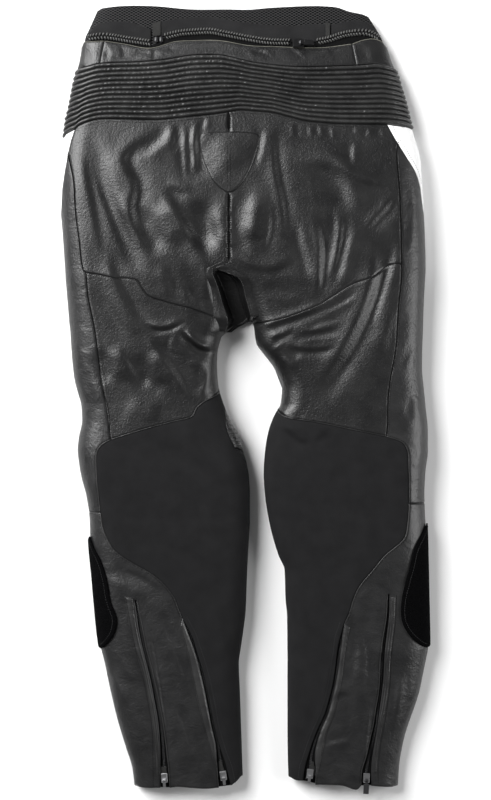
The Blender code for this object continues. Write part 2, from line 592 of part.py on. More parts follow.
def ribbed(name, chart, upper, lower, ribs, slot):
    """A panel between two seams with ribs raised in its outer points over a plain inside."""
    rows = 2 * ribs + 1
    a = np.array([chart.knot(p) for p in upper])
    b = np.array([chart.knot(p) for p in lower])
    flat, depth = [], []
    inset = SEAM_GAP / 2
    for j in range(rows):
        t = j / (rows - 1)
        row = a * (1 - t) + b * t
        row[:, 1] += inset * (1 - 2 * t)
        row[0, 0] += inset * np.sign(row[-1, 0] - row[0, 0])
        row[-1, 0] -= inset * np.sign(row[-1, 0] - row[0, 0])
        flat += [tuple(p) for p in row]
        depth += [-RIB_RISE if j % 2 else RIB_RISE * 0.4] * len(row)
    n = len(a)
    faces = []
    for j in range(rows - 1):
        for i in range(n - 1):
            k = j * n + i
            faces.append((k, k + 1, k + n + 1, k + n))
    inner = chart.solid(flat, LEATHER + RIB_RISE * 0.4)
    verts, faces = wall(chart.solid(flat, np.array(depth)), inner, faces)
    return body(name, verts, faces, slot)


def leg_panels(side):
    """The panels of one half that both halves have, each from its own seams."""
    left = side == "L"
    word = "left" if left else "right"
    chart = Chart("outer", side)
    knee = Chart("inner", side)
    waist_out = WAIST_TOP_LEFT if left else WAIST_TOP_RIGHT
    waist_seam = WAIST_SEAM_LEFT if left else WAIST_SEAM_RIGHT
    accordion_out = ACCORDION_TOP_LEFT if left else ACCORDION_TOP_RIGHT
    accordion_low = ACCORDION_BOTTOM_LEFT if left else ACCORDION_BOTTOM_RIGHT
    yoke = YOKE_LEFT if left else YOKE_RIGHT
    high, low = (SIDE_LEFT_HIGH, SIDE_LEFT_LOW) if left else (SIDE_RIGHT_HIGH, SIDE_RIGHT_LOW)
    white, white_low = (WHITE_LEFT, WHITE_LEFT_LOW) if left else (WHITE_RIGHT, WHITE_RIGHT_LOW)
    stretch_top = STRETCH_TOP_LEFT if left else STRETCH_TOP_RIGHT
    stretch_side = STRETCH_SIDE_LEFT if left else STRETCH_SIDE_RIGHT
    stretch_calf = STRETCH_CALF_LEFT if left else STRETCH_CALF_RIGHT
    cross = CROSS_LEFT if left else CROSS_RIGHT
    ankle_calf = ANKLE_LEFT_CALF if left else ANKLE_RIGHT_CALF
    ankle_stretch = ANKLE_LEFT_STRETCH if left else ANKLE_RIGHT_STRETCH
    calf_out = CALF_LEFT_OUT if left else CALF_RIGHT_OUT
    calf_in = CALF_LEFT_IN if left else CALF_RIGHT_IN
    hem_out = HEM_LEFT_OUT if left else HEM_RIGHT_OUT
    hem_in = HEM_LEFT_IN if left else HEM_RIGHT_IN
    hem_stretch = HEM_LEFT_STRETCH if left else HEM_RIGHT_STRETCH
    corner = 138.5 if left else 129.5  # where the accordion's outer end stops
    cross_down = cross[0][1]
    yoke_end, thigh_end = (318, 391) if left else (323.6, 409)
    tip = 246 if left else 284
    # Shared lines round the outer edge
    end_line = rim_run(side, ((0.006, 71), (0.006, corner)))
    white_edge = rim_run(side, ((-0.0016, 214), (-0.0016, tip)))
    white_under = rim_run(side, ((0.006, corner), (0.014, corner + 12), (0.014, 200), (0.006, tip)))
    side_under = rim_run(side, ((0.006, tip), (0.014, tip + 20), (WRAP, tip + 50)), 0.011) + rim_run(
        side, ((WRAP, tip + 50), (WRAP, 405)))
    knee_under = rim_run(side, ((WRAP, 405), (WRAP, 450)))
    shin_under = rim_run(side, ((WRAP, 450), (WRAP, cross_down)))
    calf_under = rim_run(side, ((WRAP_CALF, cross_down), (WRAP_CALF, 786)))
    cross_under = rim_run(side, ((WRAP, cross_down), (WRAP_CALF, cross_down)))
    waist_low = rim_run(side, ((0.006, 71), (WRAP, 73)))

    panel(
        f"waist_side_{word}", chart,
        [finely(waist_out if left else back(waist_out)), finely(waist_seam), back(finely(accordion_out)) if left
         else finely(accordion_out), rim_run(side, ((-0.002, 69.5), (0.006, 71))), waist_low,
         rim_run(side, ((WRAP, 73), (WRAP, 44.5)))],
        "leather_black", cell=0.012,
    )
    seat_edge = [("inner", d, "top") for d in (114.3, 135, 165, 195, 216, 232, 248, 262, 268)] + inner_run(
        270, yoke_end
    )
    panel(
        f"seat_{word}", chart,
        [finely(accordion_low) if left else back(finely(accordion_low)), seat_edge,
         back(finely(yoke)), back(finely(high)), back(finely(white))],
        "leather_black",
    )
    white_end = (-0.014, 134.75) if left else (-0.0215, 128.05)
    white_top = rim_run(side, ((0.006, corner), (-0.004, corner), white_end))
    panel(
        f"white_hip_{word}", chart,
        [finely(white), finely(white_low), white_edge, back(white_under), white_top],
        "leather_white", cell=0.012, gap=0.0005,
    )
    panel(
        f"thigh_{word}", chart,
        [finely(yoke), inner_run(yoke_end, thigh_end), finely(stretch_top),
         back(finely(low))],
        "leather_black",
    )
    panel(
        f"side_panel_{word}", chart,
        [finely(high), finely(low), finely(stretch_side), back(finely(cross)),
         rim_run(side, ((0, cross_down), (WRAP, cross_down))), back(shin_under), back(knee_under),
         back(side_under), back(white_edge), back(finely(white_low))],
        "leather_black",
    )
    hem_corner = 777 if left else 778
    if left:
        inner_line = [*inner_run(450, hem_corner)]
        stretch_inner = back(inner_line) + back(finely(KNEE_LEFT)) + back(inner_run(thigh_end, 409))
    else:
        stretch_inner = back(inner_run(thigh_end, hem_corner))
    panel(
        f"stretch_{word}", chart,
        [finely(stretch_top), finely(stretch_side), finely(stretch_calf), finely(ankle_stretch),
         finely(hem_stretch), stretch_inner],
        "stretch_fabric", thick=FABRIC,
    )
    panel(
        f"calf_{word}", chart,
        [finely(cross), finely(stretch_calf), finely(ankle_calf), back(finely(hem_in)),
         back(finely(calf_in)), finely(calf_out), finely(hem_out), rim_run(side, ((0, 787), (WRAP_CALF, 786))),
         back(calf_under), back(cross_under), rim_run(side, ((WRAP, cross_down), (0, cross_down)))],
        "leather_black",
    )
    # The front, plain and lying flat
    fly = 219 if left else 239
    waist_inner = under_run(((fly, 46), (fly, 73)))
    panel(
        f"front_waist_{word}", chart,
        [rim_run(side, ((WRAP, 44.5), (WRAP, 73))), under_run(((96 if left else 372, 73), (fly, 73))),
         back(waist_inner), under_run(((fly, 46), (104 if left else 352, 45)))],
        "leather_black", cell=CELL_UNDER, gap=0.0004,
    )
    rows = (190, 215, 240, 262, 275, 290, 303, 312, 317, 320, 325, 330, 337, 350, 368, 389, 405)
    rest = [("inner", d, "low") for d in rows]
    panel(
        f"front_thigh_{word}", chart,
        [waist_low, under_run(((96 if left else 372, 73), (fly, 73))), under_run(((fly, 73), (fly, 190))), rest,
         under_run(((210 if left else 288, 405), (110 if left else 398, 405))), back(side_under),
         back(white_under), back(end_line)],
        "leather_black", cell=CELL_UNDER, gap=0.0004,
    )
    if left:
        around = [("inner", 405, "low"), ("inner", 409, "low"), *finely(KNEE_LEFT), ("inner", 450, "low")]
    else:
        around = inner_run(405, 450, "low")
    panel(
        f"knee_front_{word}", knee,
        [knee_under, under_run(((110 if left else 398, 450), (232 if left else 275, 450))), back(around),
         under_run(((210 if left else 288, 405), (110 if left else 398, 405)))],
        "leather_black", cell=CELL_UNDER, gap=0.0004,
    )
    panel(
        f"shin_front_{word}", chart,
        [under_run(((110 if left else 398, 450), (232 if left else 275, 450))),
         inner_run(450, hem_corner, "low"),
         under_run(((230 if left else 303, 782), (178 if left else 352, 786))), back(calf_under),
         back(cross_under), back(shin_under)],
        "leather_black", cell=CELL_UNDER, gap=0.0004,
    )
    # Zip tapes behind the two slits of the leg
    way = 1 if left else -1
    for name, one, two in (("calf", calf_out, calf_in), ("ankle", ankle_calf, ankle_stretch)):
        near = [(x - 4.5 * way, y) for x, y in one]
        far = [(x + (4.5 if name == "calf" else 2.6) * way, y) for x, y in two]
        panel(f"{name}_tape_{word}", chart, [finely(near), back(finely(far))], "zip_tape", thick=TAPE,
              depth=0.0034)
    # Hook and loop patch over the calf's outer edge
    patch = PATCH_LEFT if left else PATCH_RIGHT
    top, low_end = patch[0][1], patch[-1][1]
    under = ((0.002, top + 2), (0.009, top + 24), (0.01, (top + low_end) / 2 + 8), (0.009, low_end - 14),
             (0.002, low_end))
    panel(
        f"knee_patch_{word}", chart, [finely(patch), back(rim_run(side, under))],
        "hook_loop", thick=PATCH, depth=-PATCH - 0.0015, margin=0.0012,
    )


def boolean(obj, other, operation):
    """Joins a second body to the first, or cuts it out, and removes the second."""
    change = obj.modifiers.new(operation.lower(), "BOOLEAN")
    change.object, change.operation, change.solver = other, operation, "EXACT"
    bpy.context.view_layer.update()
    shaped = bpy.data.meshes.new_from_object(obj.evaluated_get(bpy.context.evaluated_depsgraph_get()))
    obj.modifiers.clear()
    old, obj.data = obj.data, shaped
    shaped.name = obj.name
    bpy.data.meshes.remove(old)
    gone = other.data
    bpy.data.objects.remove(other)
    bpy.data.meshes.remove(gone)


def block(name, size, at, slot, bevel=0.0):
    bm = bmesh.new()
    bmesh.ops.create_cube(bm, size=1, matrix=Matrix.Translation(at) @ Matrix.Diagonal((*size, 1)))
    if bevel:
        bmesh.ops.bevel(bm, geom=list(bm.edges), offset=bevel, segments=1, affect="EDGES")
    return from_bmesh(name, bm, slot)


def rod(name, radius, long, at, slot, sides=12):
    """A round bar that lies across a zip."""
    bm = bmesh.new()
    turn = Matrix.Translation(at) @ Matrix.Rotation(math.pi / 2, 4, "Y")
    bmesh.ops.create_cone(bm, cap_ends=True, segments=sides, radius1=radius, radius2=radius, depth=long,
                          matrix=turn)
    return from_bmesh(name, bm, slot)


def from_bmesh(name, bm, slot):
    mesh = bpy.data.meshes.new(name)
    bm.to_mesh(mesh)
    bm.free()
    obj = bpy.data.objects.new(name, mesh)
    GARMENT.objects.link(obj)
    mesh.materials.append(material(slot))
    return obj


# Sliders: name, half, across, down, turn in degrees, width and length in mm, depth in mm, pull's length in mm
SLIDERS = (
    ("calf_left", "L", 164.4, 777, 3, 8.4, 12, 3.0, 9, "zip_metal"),
    ("ankle_left", "L", 223.3, 775, 8, 8.4, 12, 3.0, 9, "zip_metal"),
    ("calf_right", "R", 366.2, 777, -3, 8.4, 12, 3.0, 18, "pull_plastic"),
    ("ankle_right", "R", 309.8, 773, -6, 8.4, 12, 3.0, 9, "zip_metal"),
    ("waist", "R", 298, 45, 90, 11, 14, -0.4, 17, "zip_metal"),
)


def slider(name, side, across, down, turn, wide, long, depth, pull_long, pull_slot):
    """A zip slider with a bar for its pull, and the pull lying flat towards the zip's end."""
    u = np.array([upper_u(side, across, down)])
    v = np.array([down * STEP])
    seat = place(side, u, v)[0] - outward(side, u, v)[0] * depth / 1000
    up = Vector(outward(side, u, v)[0])
    lean = Vector((0, 0, 1)).rotation_difference(up).to_matrix().to_4x4()
    where = Matrix.Translation(seat) @ lean @ Matrix.Rotation(math.radians(turn), 4, "Z")
    wide, long, pull_long = wide / 1000, long / 1000, pull_long / 1000
    tall, bar = 0.0034, 0.0056
    made = block(f"slider_{name}", (wide, long, tall), (0, 0, tall / 2), "zip_metal", 0.0006)
    for x in (-1, 1):
        post = block("post", (0.001, 0.0026, bar), (x * 0.0026, -long * 0.18, bar / 2 + 0.0004), "zip_metal")
        boolean(made, post, "UNION")
    boolean(made, rod("bar", 0.0007, 0.0056, (0, -long * 0.18, bar), "zip_metal", 10), "UNION")
    pull = block(f"pull_{name}", (0.0036, pull_long, 0.0013), (0, -long * 0.18 - pull_long / 2, bar), pull_slot)
    if pull_long > 0.012:
        tab = block("tab", (0.0072, pull_long - 0.005, 0.0017),
                    (0, -long * 0.18 - pull_long / 2 - 0.0026, bar), pull_slot, 0.0005)
        boolean(pull, tab, "UNION")
    boolean(pull, rod("eye", 0.0019, 0.0036, (0, -long * 0.18, bar), pull_slot, 12), "UNION")
    boolean(pull, rod("hole", 0.0011, 0.006, (0, -long * 0.18, bar), pull_slot, 12), "DIFFERENCE")
    for obj in (made, pull):
        obj.data.transform(where)


def gusset():
    """The leather between the halves at the crotch, seen down in the fold."""
    rows = []
    for down, left, seam, right, low in GUSSET:
        v = np.array([down * STEP])
        top_l = place("L", -section("L", v)["top"], v)[0][2]
        top_r = place("R", -section("R", v)["top"], v)[0][2]
        deep = low / 1000
        marks = ((left, top_l - 0.0012), ((left + seam) / 2, deep * 0.65 + top_l * 0.3), (seam, deep),
                 ((right + seam) / 2, deep * 0.65 + top_r * 0.3), (right, top_r - 0.0012))
        y = (MIDDLE_DOWN - down) * STEP
        rows.append([((x - MIDDLE_ACROSS) * STEP, y, max(z, 0.0042)) for x, z in marks])
    outer = np.array([p for row in rows for p in row])
    inner = outer - np.array([0, 0, LEATHER])
    faces = []
    for j in range(len(rows) - 1):
        for i in range(4):
            k = j * 5 + i
            faces.append((k, k + 1, k + 6, k + 5))
    verts, faces = wall(outer, inner, faces)
    body("crotch_gusset", verts, faces, "leather_black")


for old in list(bpy.data.objects):
    bpy.data.objects.remove(old)
GARMENT = collection()

BACK, FRONT_CHART = Chart("back"), Chart("front")
for half in ("L", "R"):
    leg_panels(half)
gusset()

# Waist
panel("waist_back", BACK,
      [finely(WAIST_TOP), finely(WAIST_SEAM_RIGHT), back(finely(ACCORDION_TOP)), back(finely(WAIST_SEAM_LEFT))],
      "leather_black")
upper = [("rim", "L", 0.006, 71), ("rim", "L", -0.002, 69.5), *ACCORDION_TOP_LEFT[:-1], *ACCORDION_TOP,
         *ACCORDION_TOP_RIGHT[1:], ("rim", "R", -0.002, 69.5), ("rim", "R", 0.006, 71)]
lower_left = [("rim", "L", 0.006, 138.5), ("rim", "L", -0.004, 138.5), ("rim", "L", -0.014, 134.75)]
lower_right = [("rim", "R", -0.0215, 128.05), ("rim", "R", -0.004, 129.5), ("rim", "R", 0.006, 129.5)]
lower = lower_left + list(ACCORDION_BOTTOM_LEFT) + list(ACCORDION_BOTTOM_RIGHT[1:]) + lower_right
panel("tailbone_shield", BACK, [[*SHIELD_LINE]], "leather_black", thick=SHIELD, depth=-SHIELD - 0.001,
      margin=0.0015)
panel("fly_flap", FRONT_CHART,
      [under_run(((219, 46), (239, 46))), under_run(((239, 46), (239, 73))), under_run(((239, 73), (239, 190))),
       under_run(((239, 190), (219, 190))), back(under_run(((219, 73), (219, 190)))),
       back(under_run(((219, 46), (219, 73))))],
      "leather_black", cell=CELL_UNDER)
for part, line, deep in (("left", TAPE_LEFT, 0.0023), ("middle", TAPE_MIDDLE, 0.0022),
                         ("right", TAPE_RIGHT, 0.0021), ("lower", TAPE_LOWER, 0.0023)):
    panel(f"zip_tape_{part}", BACK, [finely(line + line[:1], 0.011)], "zip_tape", thick=TAPE, cell=0.012,
          depth=deep)
mesh_low = ((85, 40), (104, 40.8), (128, 43.6), (150, 47.6), (175, 42), (220, 41), (249, 45.6), (272, 46.6),
            (320, 47.6), (352, 43.4), (370, 38), (380, 39.4))
panel("mesh_band_back", BACK,
      [finely(MESH_TOP), rim_run("R", ((0, 13.5), (0, 39.4)), 0.009), back(finely(mesh_low)),
       rim_run("L", ((0, 40), (0, 8)), 0.009)],
      "waist_mesh", thick=FABRIC, depth=0.0039, cell=0.014)
panel("mesh_band_front", FRONT_CHART,
      [rim_run("L", ((0, 9), (0, 40)), 0.009), under_run(((100, 42), (229, 43), (360, 42))),
       rim_run("R", ((0, 39.4), (0, 14)), 0.009),
       under_run(((355, 13), (336, 12), (272, 12), (191, 13), (132, 10), (105, 10)))],
      "waist_mesh", thick=FABRIC, depth=0.0039, cell=CELL_UNDER)
ribbed("accordion_panel", BACK, upper, lower, ACCORDION_RIBS, "leather_black")
for row in SLIDERS:
    slider(*row)
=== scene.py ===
"""Looks of the black leather motorcycle trousers, laid flat with the seat side up.

Every panel is a fine shell on the same unrolled surface that its CAD solid was made from. Tables give
places as across and down, in steps of the layout, from the upper left of the layout.
"""

import math

import bpy
import bmesh
import numpy as np
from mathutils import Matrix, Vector
from mathutils.geometry import delaunay_2d_cdt


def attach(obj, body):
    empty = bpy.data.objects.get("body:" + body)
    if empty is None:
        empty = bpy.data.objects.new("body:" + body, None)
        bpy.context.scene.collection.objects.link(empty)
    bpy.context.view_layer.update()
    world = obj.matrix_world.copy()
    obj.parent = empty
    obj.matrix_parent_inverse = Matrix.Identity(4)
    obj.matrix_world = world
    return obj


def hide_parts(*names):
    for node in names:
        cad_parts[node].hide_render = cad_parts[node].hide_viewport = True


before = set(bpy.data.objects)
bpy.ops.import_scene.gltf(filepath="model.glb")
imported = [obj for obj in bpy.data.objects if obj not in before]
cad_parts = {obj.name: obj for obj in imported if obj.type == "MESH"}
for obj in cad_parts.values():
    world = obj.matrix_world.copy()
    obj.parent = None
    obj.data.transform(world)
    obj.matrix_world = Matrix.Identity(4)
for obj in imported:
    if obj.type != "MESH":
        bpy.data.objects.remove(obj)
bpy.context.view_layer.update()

# Driving sizes in metres
STEP = 0.0013  # one step of the layout
MIDDLE_ACROSS = 245.4405  # the layout's column above the origin
MIDDLE_DOWN = 399.2802  # the layout's row above the origin
CENTRE = 229  # the column of the centre seam
LEATHER = 0.0018  # wall of a leather panel
FABRIC = 0.0014  # wall of stretch fabric and mesh
TAPE = 0.001  # wall of a zip tape
SHIELD = 0.0026  # wall of the seat shield
PATCH = 0.0016  # wall of a hook and loop patch
TAPE_DEPTH = 0.0034  # of the leg zips' tapes below the leather
TAB_DEPTH = 0.0024  # of the small tabs at the leg zips
MESH_DEPTH = 0.0039  # of the waist mesh
SEAM_GAP = 0.0003  # between two panels at a seam
FOLD_GAIN = 1.1  # how much steeper a fold is than its row says
RISE_LIMIT = 0.36  # the steepest that a fold above nought gets
WIDER_RISE = 1.3  # how much wider a fold above nought is than its row says
WIDER_FALL = 1.1  # the same below nought
FADE = 0.36  # the share of a course over which its fold fades at each end
EDGE_ROUND = 0.034  # how far in from the outline the upper side is rounded
EDGE_UNDER = 0.012  # the same on the underside
EDGE_SHARE = 0.42  # height of the outline's edge as a share of the thickness
CROWN = 0.005  # how much higher the middle is than the rounded edge
WRAP = 0.03  # how far the side panels reach round to the front
WRAP_CALF = 0.05  # the same for the calf panels
ACCORDION_RIBS = 12
RIB_ROWS = 10  # rows of points to a rib
RIB_COLUMNS = 420  # points along a rib
RIB_HEIGHT = 0.0018
RIB_PUCKER = 0.0002  # how much a rib's height varies along it
RIB_GROOVE = 0.0028  # depth of the seam between two ribs
RIB_LIFT = 0.0005  # of the whole panel above the cloth's surface
FINE_CELL = 0.0024  # the spacing of points in a shell of the upper side
FINE_UNDER = 0.007  # the same on the underside
FINE_KNOT = 0.0026  # the spacing of points along a seam
UNDER_KNOT = 0.006  # the same along a seam of the underside
NARROWEST = 0.011  # the least width in metres that a shell's size is raised to at the end

# Outline of the left half: down, outer edge, inner edge
LEFT_EDGE = (
    (2, 97, 229), (14, 91.6, 229), (26, 86.2, 229), (38, 81.4, 229), (50, 80.6, 229), (60, 79, 229),
    (75, 75.5, 229), (90, 72, 229), (105, 69.5, 229), (120, 66, 229), (139, 63.5, 229),
    (155, 62, 229), (175, 60.5, 229), (195, 60, 229), (240, 63, 229), (262, 64.5, 229),
    (268, 65, 226), (275, 65.3, 214.5), (291, 66.5, 219), (308, 68, 224), (320, 69, 227.5),
    (330, 70, 226), (337, 70.5, 221.5), (359, 72, 217), (380, 74.5, 217.7), (392, 77.5, 219.6),
    (405, 81, 224), (420, 82, 230), (438, 78.6, 239.6), (450, 77.5, 243), (464, 79, 247),
    (480, 82, 249.3), (495, 86, 250), (520, 89.5, 250), (540, 90, 249), (579, 93.5, 247),
    (608, 96, 246), (645, 100, 241.5), (664, 104.5, 239), (692, 110.3, 240), (720, 117, 241),
    (750, 126, 242), (768, 131.6, 242.6), (790, 134.4, 243.5),
)
# Outline of the right half: down, outer edge, inner edge
RIGHT_EDGE = (
    (2, 364, 229), (14, 371.5, 229), (26, 379, 229), (38, 385.4, 229), (50, 388.6, 229),
    (60, 391.8, 229), (75, 397.5, 229), (90, 402, 229), (105, 406.5, 229), (120, 410, 229),
    (129, 412.3, 229), (139, 415, 229), (150, 418.5, 229), (165, 421, 229), (180, 422, 229),
    (240, 425, 229), (262, 425.6, 229), (270, 425.6, 229.6), (276, 425.3, 236), (282, 425, 241.5),
    (300, 424, 245.5), (322, 423.3, 253), (344, 422.6, 256.5), (352, 422.3, 262), (368, 422.2, 274),
    (389, 424, 282), (404, 425.5, 280.6), (413, 426.5, 275.5), (429, 428, 269), (451, 428, 265),
    (473, 425.5, 263.6), (496, 424.6, 265), (521, 425.6, 269), (538, 426.2, 273), (557, 426.6, 279),
    (570, 427, 284.5), (600, 427.6, 285.5), (615, 428, 287), (647, 428.6, 287.4), (660, 426.4, 287.5),
    (675, 423.4, 287.5), (690, 420.4, 287.5), (705, 416, 287.5), (720, 410.6, 287.5), (735, 405.8, 287.5),
    (750, 402.4, 287.7), (765, 400, 288), (790, 398.4, 289),
)
# Where the front ends on the inner side, which differs from the back's edge round the crotch
LEFT_FRONT = ((262, 229), (282, 230), (300, 234), (312, 240), (317, 246), (320, 242.5), (325, 237),
              (330, 229), (337, 221.5))
RIGHT_FRONT = ((262, 229), (282, 230), (300, 234), (312, 240), (317, 246), (320, 250.5),
               (325, 254), (337, 255.6))
# Thickness laid flat: down, thickness in mm, how far the back's and the front's inner edges are closed
BODY = (
    (2, 22, 0, 0), (40, 24, 0, 0), (70, 31, 0, 0), (105, 36, 0, 0), (139, 40, 0, 0), (200, 44, 0, 0),
    (262, 45, 0, 0), (275, 45, 0.35, 0), (290, 44, 0.8, 0), (305, 43, 1, 0), (318, 42.6, 1, 0.15),
    (340, 42, 1, 1), (400, 40, 1, 1), (460, 41, 1, 1), (520, 39, 1, 1), (600, 35, 1, 1),
    (680, 30, 1, 1), (740, 26, 1, 1), (790, 22, 1, 1),
)
